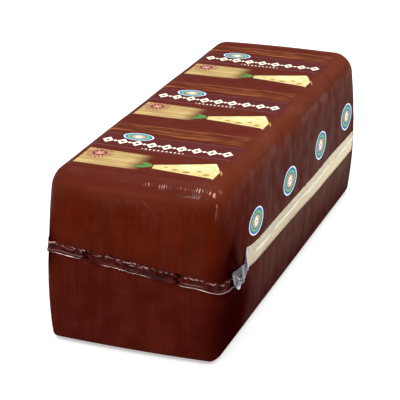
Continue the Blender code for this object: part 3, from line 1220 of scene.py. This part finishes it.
def film_ground(finish, place, patches, blotches, lines):
    """The unprinted browns: deeper below, with painted shade at the foot of each side, and a
    pale grey tone on the sides that is partly the cheese showing through and partly a painted
    sheen.
    """
    x, y, height = finish.parts(place)
    bands = finish.drawn(place, 110.0, 110.0, 9.0, 1.0)
    streaks = finish.drawn(place, 420.0, 420.0, 14.0, 3.0)
    rows = finish.drawn(place, 60.0, 60.0, 900.0, 1.0)
    worn = blotches * 0.30 + bands * 0.20 + streaks * 0.15 + lines * 0.20 + rows * 0.15

    side = finish.ease(abs(x), 0.0460, 0.0500) * finish.ease(height, 0.080, 0.092, 1.0, 0.0)
    raised = finish.ease(height + 0.02 * (patches - 0.5), 0.030, 0.078)
    below = finish.ease(height, 0.034, 0.052, 1.0, 0.0)
    foot = finish.ease(height, 0.002, 0.036)
    back = finish.ease(y, -0.112, -0.030) + finish.ease(y, -0.04, 0.13)
    upper = finish.ease(height, 0.084, 0.101) + side * finish.ease(height, 0.074, 0.092) * 0.35

    lively = finish.ease(worn, 0.47, 0.62) * (1 - raised) * (1 - side) * 0.5
    deep = finish.ease(worn, 0.41, 0.58, 0.42, 0.0) * (1 - side * (0.45 + 0.35 * below))
    see_through_sheen = side * back * foot * (0.022 + 0.026 * below) * (0.3 + 1.4 * patches)
    ground = finish.mix(raised * (1 - 0.85 * side), FILM_RED, FILM_BROWN)
    for share, colour in (
        (lively, FILM_BROWN),
        (deep, FILM_DEEP),
        # painted shade at the foot of each side
        (side * (1 - foot) * 0.45, FILM_PAINTED_SHADE),
        # pale grey on the sides: partly the cheese showing through, partly a painted sheen
        (see_through_sheen, FILM_SEE_THROUGH_SHEEN),
        (upper * (0.25 + 0.7 * patches + 0.5 * blotches), FILM_WARM),
    ):
        ground = finish.mix(share, ground, colour)
    return ground


def brown_film():
    """Glossy brown film that clings to the cheese, with its print."""
    finish = Finish("Printed film", Specular_IOR_Level=0.0, Coat_Roughness=0.08)
    place = finish.place()
    film = finish.stretch(finish.attribute("film"), METRE, METRE, 1.0)
    across, along, hollow_shade = finish.parts(film)
    gloss = finish.attribute("gloss", "Fac")

    patches = finish.noise(place, 24.0, 3.0)
    blotches = finish.noise(place, 95.0, 2.0)
    lines = finish.drawn(place, 1300.0, 1300.0, 30.0, 1.0)
    waves = finish.drawn(place, 160.0, 160.0, 30.0)
    grain = finish.drawn(place, 900.0, 900.0, 120.0)

    ground = film_ground(finish, place, patches, blotches, lines)
    shown = side_medallions(top_label(ground, across, along), across, along)
    # Painted shade over the hollows by the ears
    colour = finish.mix(finish.ease(hollow_shade, 0.08, 0.80), shown, FILM_PAINTED_SHADE)
    # Painted sheen: the colour turns pale pink where the film is glossiest, on the pleats and
    # marks, partly film whitened by stretching
    colour = finish.mix(finish.ease(gloss, 0.12, 0.50) * 0.62, colour, FILM_PAINTED_SHEEN)
    haze = finish.ease(waves * 0.35 + lines * 0.25 + blotches * 0.40, 0.40, 0.60)
    finish.feed_shader(
        Base_Color=colour,
        Coat_Weight=gloss * (0.55 + 0.9 * haze),
        Roughness=0.40 + 0.15 * patches,
        Normal=finish.bump(grain, 0.00012, 0.5),
    )
    return finish.material


def sealed_film():
    """The same film doubled and crimped, dark where it holds no cheese, with painted highlights
    on its creases and lip and painted shade in its pinches.
    """
    finish = Finish("Sealed film", Specular_IOR_Level=0.0, Coat_Roughness=0.22)
    _, down, crease_glint = finish.parts(finish.attribute("sheet"))
    mottle = finish.noise(finish.place(), 210.0, 3.0)
    body = finish.mix(finish.ease(mottle, 0.3, 0.7), SEAL_DARK, SEAL_BROWN)
    # Painted highlights: pale along the creases, paler on the cut lip, which is partly a real
    # pale cut edge
    lip = finish.ease(down, 0.91, 0.95)
    glint = finish.mix(lip, SEAL_GLINT, CUT_EDGE_GLINT)
    body = finish.mix(finish.ease(crease_glint, 0.20, 0.95) * (0.85 + 0.15 * lip), body, glint)
    # Painted shade in the pinches
    body = finish.mix(finish.ease(crease_glint, -0.6, -0.1, 1.0, 0.0), body, SEAL_KNOT_SHADE)
    finish.feed_shader(
        Base_Color=body,
        Coat_Weight=greatest(0.04 + 0.5 * crease_glint * (1 - 0.55 * lip), crease_glint * 0.0),
        Roughness=0.22 + 0.2 * mottle,
        Normal=finish.bump(mottle, 0.0003, 0.5),
    )
    return finish.material


def clear_stripe_film():
    """Bare film over the cheese, with a painted highlight along the ridge where it stands off.
    """
    finish = Finish("Clear film", Coat_Roughness=0.16, Specular_IOR_Level=0.20)
    along, _, ridge = finish.parts(finish.attribute("sheet"))
    waves = finish.drawn(finish.place(), 60.0, 9.0, 420.0)
    front = finish.ease(along, 0.002, 0.009, 1.0, 0.0)
    film = 0.07 + 0.10 * finish.ease(waves, 0.45, 0.75)
    # Painted highlight on the ridge
    colour = finish.mix(finish.ease(ridge, 0.12, 0.45), STRIPE_VEIL, STRIPE_HIGHLIGHT)
    finish.feed_shader(
        Base_Color=finish.mix(front, colour, FRONT_GREY),
        Alpha=greatest(film + 0.90 * ridge, front * 0.75),
        Coat_Weight=0.04 + 0.10 * ridge,
        Roughness=0.24 + 0.14 * waves,
        Normal=finish.bump(waves, 0.0001, 0.3),
    )
    return finish.material


def clear_ear_film():
    """Clear film gathered into folds, milky where it is creased, with painted highlights on its
    rim, crest and lobes.
    """
    finish = Finish("Gathered clear film", Coat_Roughness=0.15, Specular_IOR_Level=0.04)
    _, _, crease_glint = finish.parts(finish.attribute("sheet"))
    wrinkles = finish.drawn(finish.place(), 220.0, 220.0, 110.0, 1.0)
    # Milky creases, with painted highlights where the value is highest
    colour = finish.mix(finish.ease(crease_glint, 0.25, 0.55), EAR_SHADE, EAR_LILAC)
    finish.feed_shader(
        Base_Color=finish.mix(finish.ease(crease_glint, 0.50, 0.95), colour, EAR_MILKY_GLINT),
        Alpha=finish.ease(crease_glint * (0.9 + 0.2 * wrinkles), 0.05, 0.40, 0.74, 0.99),
        Coat_Weight=finish.ease(crease_glint, 0.40, 0.95, 0.02, 0.40),
        Roughness=0.16 + 0.16 * wrinkles,
        Normal=finish.bump(wrinkles, 0.0001, 0.5),
    )
    return finish.material


def tilsit():
    """Pale semi-hard cheese with a faint mottle and small slits."""
    finish = Finish(
        "Tilsit cheese",
        Subsurface_Weight=0.06,
        Subsurface_Scale=0.004,
        Specular_IOR_Level=0.25,
    )
    place = finish.place()
    cloud = finish.noise(place, 60.0, 4.0)
    slits = finish.drawn(place, 120.0, 120.0, 520.0)
    dark = finish.ease(slits, 0.68, 0.76) * 0.5
    colour = finish.mix(finish.ease(cloud, 0.3, 0.7), CHEESE_DEEP, CHEESE_CREAM)
    back = finish.ease(finish.parts(place)[1], -0.06, 0.12)
    colour = finish.mix(back * 0.7, colour, CHEESE_PALE)
    colour = finish.mix(dark, colour, CHEESE_SLIT)
    finish.feed_shader(
        Base_Color=colour,
        Roughness=0.40 + 0.2 * cloud,
        Normal=finish.bump(cloud * 0.5 - slits * 0.5, 0.0004, 0.3),
    )
    return finish.material


def pale_floor():
    finish = Finish("Pale floor", Specular_IOR_Level=0.2, Emission_Strength=FLOOR_GLOW)
    grain = finish.noise(finish.place(), 30.0, 3.0)
    finish.feed_shader(
        Base_Color=finish.mix(grain, FLOOR_GREY, FLOOR_LIGHT_GREY),
        Roughness=0.6 + 0.2 * grain,
    )
    return finish.material


# --- The pieces


def make_loaf():
    """The block of cheese, pressed and lightly pitted."""
    bm = make_block(film_stations(LOAF_DETAIL))
    lay_on_loaf(bm, CHEESE_INSET, wrinkled=False)
    for vert in bm.verts:
        pits = waver(*(vert.co / PIT_SIZE))
        vert.co -= vert.normal * PIT_DEPTH * max(0.0, pits)
    return dress("tilsit_block", bm, tilsit(), "cheese", "cheese")


def make_film(material):
    """The printed tube: a finely wrinkled face, a plain back, and a rim."""
    pleated_y, pleated_z = PLEATED
    bm = make_block(film_stations(FACE_DETAIL))
    refine(bm, 0, PLEATED_CUTS, lambda t: abs(t.y) > pleated_y and t.z > pleated_z)
    open_stripe(bm)
    lay_on_loaf(bm, 0.0, wrinkled=True)
    back = make_block(film_stations(BACK_DETAIL))
    open_stripe(back)
    lay_on_loaf(back, FILM, wrinkled=False)
    bmesh.ops.reverse_faces(back, faces=back.faces[:])
    join(bm, back)
    rims = [edge for edge in bm.edges if edge.is_boundary]
    bmesh.ops.bridge_loops(bm, edges=rims)
    return dress("brown_film", bm, material, "printed_film", "printed_film")


# The clear stripe's relief, and the ridge along it, whose places are shares of
# the stripe's height
STRIPE_WAVES = 0.00010
WAVES_SIZE = (0.05, 0.0035)  # length and height
STRIPE_RIPPLE = 0.00002
RIPPLE_SIZE = (0.012, 0.004)
RIDGE_LIFT = 0.00008
RIDGE_DOWN = 0.49
RIDGE_CLIMB = 0.14  # towards the back
RIDGE_WANDER = 0.07
RIDGE_WANDER_PITCH = 0.030
RIDGE_FADE_PITCH = 0.019
RIDGE_REACH = 0.105
RIDGE_HIGHLIGHT = 0.55
VEIL_WHITE = 0.16  # the film above the ridge is whitish too, in clouds, partly a painted sheen
CLOUD_SIZE = (0.024, 0.008)


def stripe_highlight_and_veil(along, down, y, z):
    """How strongly a painted highlight whitens the clear film on its ridge, and how whitish the
    veil above it is, partly a painted sheen.
    """
    wander = RIDGE_WANDER * waver(y / RIDGE_WANDER_PITCH, 4.0)
    off_ridge = down - (RIDGE_DOWN - RIDGE_CLIMB * along + wander)
    faded = smooth(1.0 + 1.1 * waver(y / RIDGE_FADE_PITCH, 6.0)) * smooth(1.9 - 1.4 * along)
    ridge = RIDGE_HIGHLIGHT * bell(off_ridge, RIDGE_REACH) * faded * smooth(30 * along)
    length, height = CLOUD_SIZE
    cloudy = smooth(0.8 + 1.2 * waver(y / length, z / height, 8.0))
    veil = VEIL_WHITE * smooth(-7 * off_ridge) * cloudy * smooth(1.7 - 1.5 * along)
    return ridge, veil


def make_stripe():
    """The clear film in the printed tube's opening."""
    front, back, low, high = stripe_limits(STRIPE_PLAY)

    def place(along, down):
        t = Vector((BLOCK, blend(front, back, along), blend(high, low, down)))
        point, out = skin(t.x, t.y, sink(t.y, t.z))
        _, y, z = point
        ridge, veil = stripe_highlight_and_veil(along, down, y, z)
        lift = STRIPE_WAVES * waver(y / WAVES_SIZE[0], z / WAVES_SIZE[1], 2.0)
        lift += STRIPE_RIPPLE * waver(y / RIPPLE_SIZE[0], z / RIPPLE_SIZE[1], 9.0)
        lift = lift * smooth(8 * down * (1 - down)) + RIDGE_LIFT * ridge
        return point + (lift - STRIPE_INSET) * out, max(ridge, veil)

    bm = make_sheet(*STRIPE_CELLS, place)
    piece = dress("stripe_film", bm, clear_stripe_film(), "clear_film", "clear_stripe")
    thicken(piece, CLEAR_FILM, outwards=False)
    return piece


# How far the seal stands off, at shares of the way down to its lip
SEAL_PROFILE = (
    (0.00, -0.00030),
    (0.13, 0.00090),
    (0.36, 0.00025),
    (0.66, 0.00045),
    (0.92, 0.00150),
    (1.00, 0.00165),
)
SERRATED = (-0.017, 0.014)  # the part of the lip that the sealing bar crimped

# How brightly the lip catches the light, at distances round the end
LIP_SHINE = (
    (-0.050, 0.15),
    (-0.041, 0.80),
    (-0.029, 0.75),
    (-0.026, 0.00),
    (-0.021, 0.10),
    (-0.012, 0.55),
    (0.011, 0.55),
    (0.018, 0.20),
    (0.0275, 0.00),
    (0.031, 0.50),
    (0.046, 0.70),
    (0.052, 0.52),
    (0.080, 0.50),
)


def through(knots, share):
    """Eases through knots of (share, value)."""
    for (low, first), (high, second) in zip(knots, knots[1:]):
        if share <= high:
            return blend(first, second, smooth((share - low) / (high - low)))
    return knots[-1][1]


# Where the seal's folds lie, as shares of the way down it
UPPER_FOLD = 0.13
SECOND_FOLD = 0.36
LIP_FOLD = 0.76
LIP_START = 0.92

FOLD_PITCH = 0.0040  # the pitch at which the folds rise and fall
LIP_FOLD_MIDDLE = 0.003  # the fold beside the lip is missing about this place,
LIP_FOLD_RETURN = (0.0252, 0.0312)  # shows again so far from it, to either side,
LIP_FOLD_STOP = (0.047, 0.041)  # and ends before the corner with the clear ear
CORNER_GLINT = (0.0425, 0.0445)  # the painted highlight at the corner with the brown ear


def seal_glint_and_shade(end, distance, down, kinks):
    """How strongly the seal's creases carry painted highlights, and -1 for the painted shade in
    its pinches.
    """
    facing = distance * -end
    upper_line = UPPER_FOLD + 0.07 * (waver(distance / FOLD_PITCH, 5.0) + kinks)
    thickness = 0.030 * (1 + 0.9 * waver(distance / 0.0011, 2.4))
    upper = bell(down - upper_line, thickness)
    upper *= smooth(0.68 + 1.3 * waver(distance / 0.0018, 1.0)) * (0.9 + 0.5 * kinks)
    second_line = SECOND_FOLD + 0.08 * waver(distance / FOLD_PITCH, 7.0)
    broken = smooth(2.6 * waver(distance / 0.0034, 3.0) - 0.1)
    second = bell(down - second_line, 0.034) * broken
    lip_line = LIP_FOLD + 0.05 * waver(distance / 0.009, 9.0)
    shown = rise(abs(facing - LIP_FOLD_MIDDLE), *LIP_FOLD_RETURN) * rise(facing, *LIP_FOLD_STOP)
    beside_lip = 0.50 * bell(down - lip_line, 0.045) * shown
    corner = bell(down - 0.05, 0.07) * rise(-facing, *CORNER_GLINT)
    crease_glint = max(upper, second, beside_lip, corner)
    shine = through(LIP_SHINE, facing) * (1 + 0.5 * waver(distance / 0.0035, 6.1))
    crease_glint = blend(crease_glint, shine, smooth((down - LIP_START) / 0.035))
    # Specks of painted highlight stay in the painted shade of the pinches
    speck = smooth(3.0 * waver(distance / 0.0007, 7.0 * down) - 0.4)
    crooked = distance + 0.0022 * waver(4.0 * down, 8.3)
    return blend(crease_glint, -1.0, pinch(end, crooked) ** 2 * (1 - speck))


# The seal's relief: how much, and the pitch round the end
UPPER_WANDER = (0.00050, 0.0030)
LIP_SAG = (0.00045, 0.011)
LIP_TEETH = (0.00055, 0.0009)
LIP_WAVE = (0.00040, 0.0075)
CRINKLE = (0.00060, 0.0012)
PINCH_CRINKLE = (0.00050, 0.0008)
SEAL_STREAK = 0.00010
STREAKS_DOWN = 2.4
PINCH_FLAT = 0.75
FLATTER = (0.040, 0.050)  # the seals lie flatter past the -X corners
FLATTENED = 0.70


def seal_line(end, distance, down, pinched):
    """Height of a line of the seal, from its upper edge down to its lip."""
    wander, wander_pitch = UPPER_WANDER
    sag, sag_pitch = LIP_SAG
    teeth, teeth_pitch = LIP_TEETH
    z = seal_height(distance) + SEAL_HEIGHT * (0.5 - down)
    z += wander * waver(distance / wander_pitch, 3.3 * end) * (1 - down)
    z += (sag * waver(distance / sag_pitch, 8.1 * end) + PINCH_RISE * pinched) * down
    if SERRATED[0] < distance * -end < SERRATED[1]:
        z += teeth * waver(distance / teeth_pitch, 6.6) * smooth(4 * down - 3)
    return z


def seal_lift(end, distance, down, pinched, kinks):
    """How far the seal stands off the film below it."""
    wave, wave_pitch = LIP_WAVE
    pinch_crinkle, pinch_pitch = PINCH_CRINKLE
    lift = through(SEAL_PROFILE, down) * (1 - PINCH_FLAT * pinched)
    lift += CRINKLE[0] * kinks * (bell(down - 0.15, 0.12) + 0.35 * bell(down - 0.6, 0.2))
    lift += pinch_crinkle * waver(distance / pinch_pitch, 6 * down, 1.3) * pinched
    turn = STREAKS_DOWN * down + 0.8 * waver(distance / 0.007, 3.0 * end)
    lift += SEAL_STREAK * math.sin(math.tau * turn) * smooth(6 * down - 1.5)
    lift += wave * waver(distance / wave_pitch, 4.7 * end) * down**2
    return lift * (1 - FLATTENED * rise(-distance, *FLATTER))


def make_seal(name, end, material, node):
    """A crimped seal: a crinkled fold above, a hollow, and a free cut lip."""
    left, right = seal_end(end, LEFT), seal_end(end, RIGHT)

    def place(along, down):
        distance = blend(left, right, along)
        pinched = pinch(end, distance)
        kinks = waver(distance / CRINKLE[1], 4.0 * down, end)
        z = seal_line(end, distance, down, pinched)
        lift = seal_lift(end, distance, down, pinched, kinks)
        return off_skin(end, distance, z, lift), seal_glint_and_shade(end, distance, down, kinks)

    bm = make_sheet(*SEAL_CELLS, place, mirrored=end == BACK)
    piece = dress(name, bm, material, "printed_film", node)
    thicken(piece, SEAL_FILM)
    return piece


# An ear's outline: the share along it, then its reach and its drop as shares of
# its length and height. The clear ears run out into a tail beside the stripe.
EAR_TOP = (
    (0.00, -0.184, -0.107),
    (0.30, 0.242, 0.122),
    (0.60, 0.530, 0.202),
    (0.86, 0.772, 0.271),
    (0.93, 0.872, -0.024),
    (1.00, 1.008, -0.314),
)
EAR_FOOT = (
    (0.00, -0.259, -0.071),
    (0.08, -0.256, 0.108),
    (0.16, -0.200, 0.371),
    (0.26, -0.061, 0.584),
    (0.36, -0.038, 0.694),
    (0.46, 0.026, 0.816),
    (0.55, 0.191, 0.903),
    (0.62, 0.282, 0.834),
    (0.72, 0.399, 0.841),
    (0.80, 0.527, 0.828),
    (0.88, 0.748, 0.732),
    (1.00, 0.924, 0.649),
)
# How far down the crease runs that parts an ear's upper fold from its lobes
EAR_CREST = ((0.0, 0.50), (0.15, 0.29), (0.28, 0.41), (0.39, 0.47), (0.56, 0.54), (0.82, 1.05))
EAR_LEAD = 0.27  # an ear without a tail is squeezed by these shares
EAR_OVERHANG = 0.11
LOBE_FIRST = 0.10
LOBE_PITCH = 0.35
LOW_RISE = 0.3  # the share of EAR_RISE that an ear without a tail has

# How far an ear stands off, before its size
EAR_BASE = 0.0006
EAR_BELLY = 0.0018
EAR_LEADING = 0.0019
CREST_LIFT = 0.0006
LOBE_LIFT = 0.0007
CRUMPLE = 0.0002

# How pale it is, from 0 to 1: milky creases and painted highlights
LEAST_PALE = 0.10
RIM_PALE = 0.50
TAIL_PALE = 0.46
TAIL_LINE_PALE = 0.20
TAIL_TIP_PALE = 0.40
LOBE_PALE = 0.34


def trace(knots, share):
    """Runs straight through knots of a share and its values."""
    for (low, *first), (high, *second) in zip(knots, knots[1:]):
        if share <= high:
            part = (share - low) / (high - low)
            return [blend(a, b, part) for a, b in zip(first, second)]
    return knots[-1][1:]


def ear_outline(along, down, tailed):
    """How far along and down an ear a place of its sheet lies, as shares."""
    top_reach, top_drop = trace(EAR_TOP, along)
    foot_reach, foot_drop = trace(EAR_FOOT, along)
    reach, drop = blend(top_reach, foot_reach, down), blend(top_drop, foot_drop, down)
    if tailed:
        return reach, drop
    squeezed = (drop + EAR_OVERHANG) / (1 + EAR_OVERHANG)
    return (reach + EAR_LEAD) / (1 + EAR_LEAD), max(squeezed, 0.02 * squeezed)


def ear_form(along, down):
    """How far an ear stands off, and how pale it is: milky where creased, with painted
    highlights on its rim, crest, tail and lobes.
    """
    off_crest = down - trace(EAR_CREST, along)[0]
    crest = bell(off_crest, 0.055) * (1 - smooth(12 * along - 9))
    hung = smooth(6 * off_crest)
    lobe = 0.5 + 0.5 * math.cos(math.tau * (along - LOBE_FIRST) / LOBE_PITCH)
    belly = EAR_BELLY * smooth(1.2 * down) * (1 - 0.7 * smooth(3 * along - 2))
    lift = max(EAR_BASE + belly, EAR_LEADING * smooth(1 - 4 * along))
    lift += CREST_LIFT * crest + LOBE_LIFT * lobe * hung

    rim = RIM_PALE * bell(down, 0.035) * (1 - smooth(10 * along - 8))
    tail = TAIL_PALE * smooth(12 * along - 7) + TAIL_LINE_PALE * bell(along - 0.76, 0.035)
    tail *= 1 - 0.55 * bell(along - 0.92, 0.035)
    tail += TAIL_TIP_PALE * rise(along, 0.94, 0.98)
    hem = smooth(9 * down - 7) * bell(along - 0.45, 0.15)
    lobes = hung * (LOBE_PALE + 0.22 * lobe + 0.26 * hem)
    sparkle = blend(0.58, 1.0, bell(along - 0.39, 0.08))
    return lift, max(LEAST_PALE, rim, crest * sparkle, tail, lobes)


def make_ear(name, end, side, material, slot, node):
    """A corner of the bag, gathered into folds that hang to a point."""
    start, stop = EAR_SPANS[end, side]
    size = min(1.0, (stop - start) / EAR_LENGTH)
    top = seal_height(side * girth_distance(start, SEAL_MIDDLE)) + SEAL_HEIGHT / 2
    top += EAR_RISE * size * (1.0 if side == RIGHT else LOW_RISE)

    def place(along, down):
        reach, drop = ear_outline(along, down, tailed=side == RIGHT)
        z = top - EAR_HEIGHT * size * drop
        distance = side * girth_distance(blend(start, stop, reach), z)
        lift, crease_glint = ear_form(along, down)
        crumple = waver(5 * along, 4 * down, 1.7 * end + side)
        lift += CRUMPLE * crumple * smooth(3 * down)
        return off_skin(end, distance, z, lift * size), crease_glint * (1 + 0.15 * crumple)

    bm = make_sheet(*EAR_CELLS, place, mirrored=end == side)
    piece = dress(name, bm, material, slot, node)
    thicken(piece, CLEAR_FILM)
    return piece


# --- The stage

CAMERA_LENS = 138.86  # mm, as is the sensor's width
SENSOR_WIDTH = 36
CAMERA_AZIMUTH = 19.815
CAMERA_ELEVATION = 21.648
CAMERA_ROLL = 0.263
CAMERA_DISTANCE = 0.9534
CAMERA_SLIDE = (-0.0106, -0.0133)  # across and up, from a view of the loaf's middle
CAMERA_AIM_HEIGHT = 0.052
CAMERA_CLIP = (0.05, 50)

FLOOR_SIZE = 4
STUDIO_LIGHT = 0.6
STUDIO_WHITE = (1, 1, 1, 1)

# Each softbox: its place, its width and height, and its power in watts
SOFTBOXES = {
    "Overhead": ((-0.1, 0.1, 1.5), 1.6, 1.6, 20),
    "Key": ((-0.30, -1.25, 1.45), 0.24, 0.60, 14),
    "Second key": ((0.75, -1.1, 1.25), 0.25, 0.25, 5),
    "Rim": ((1.2, 1.0, 0.9), 0.5, 0.5, 8),
}


def make_camera():
    """A long lens, a little above and to the right of the loaf's front."""
    data = bpy.data.cameras.new("Camera")
    data.lens = CAMERA_LENS
    data.sensor_width = SENSOR_WIDTH
    data.clip_start, data.clip_end = CAMERA_CLIP
    camera = bpy.data.objects.new("Camera", data)
    turn = (
        Matrix.Rotation(math.radians(CAMERA_AZIMUTH), 4, "Z")
        @ Matrix.Rotation(math.radians(90 - CAMERA_ELEVATION), 4, "X")
        @ Matrix.Rotation(math.radians(CAMERA_ROLL), 4, "Z")
    )
    aim = Matrix.Translation((0, 0, CAMERA_AIM_HEIGHT))
    step_back = Matrix.Translation((*CAMERA_SLIDE, CAMERA_DISTANCE))
    camera.matrix_world = aim @ turn @ step_back
    bpy.context.scene.collection.objects.link(camera)
    bpy.context.scene.camera = camera


def make_softbox(name, place, width, height, power):
    """An area light that faces the loaf."""
    data = bpy.data.lights.new(name, "AREA")
    data.shape = "RECTANGLE"
    data.size = width
    data.size_y = height
    data.energy = power
    lamp = bpy.data.objects.new(name, data)
    lamp.location = place
    to_loaf = Vector(place) - Vector((0, 0, HEIGHT / 2))
    lamp.rotation_euler = to_loaf.to_track_quat("Z", "Y").to_euler()
    bpy.context.scene.collection.objects.link(lamp)


def make_floor():
    bm = bmesh.new()
    bmesh.ops.create_grid(bm, x_segments=1, y_segments=1, size=FLOOR_SIZE)
    mesh = bpy.data.meshes.new("floor")
    bm.to_mesh(mesh)
    bm.free()
    mesh.materials.append(pale_floor())
    floor = bpy.data.objects.new("floor", mesh)
    bpy.context.scene.collection.objects.link(floor)


def make_studio():
    world = bpy.data.worlds.new("Studio")
    world.use_nodes = True
    background = world.node_tree.nodes["Background"]
    background.inputs["Color"].default_value = STUDIO_WHITE
    background.inputs["Strength"].default_value = STUDIO_LIGHT
    bpy.context.scene.world = world
    bpy.context.scene.view_settings.view_transform = "Standard"
    for name, (place, width, height, power) in SOFTBOXES.items():
        make_softbox(name, place, width, height, power)


ENDS = {"front": FRONT, "back": BACK}


def main():
    printed = brown_film()
    sealed = sealed_film()
    gathered = clear_ear_film()
    make_loaf()
    make_film(printed)
    make_stripe()
    for name, end in ENDS.items():
        make_seal(f"{name}_seal_fold", end, sealed, f"{name}_seal")
    for kind, side, film, slot in (
        ("clear", RIGHT, gathered, "clear_film"),
        ("brown", LEFT, sealed, "printed_film"),
    ):
        for name, end in ENDS.items():
            make_ear(f"{name}_{kind}_fold", end, side, film, slot, f"{name}_{kind}_ear")
    make_floor()
    make_studio()
    make_camera()


main()
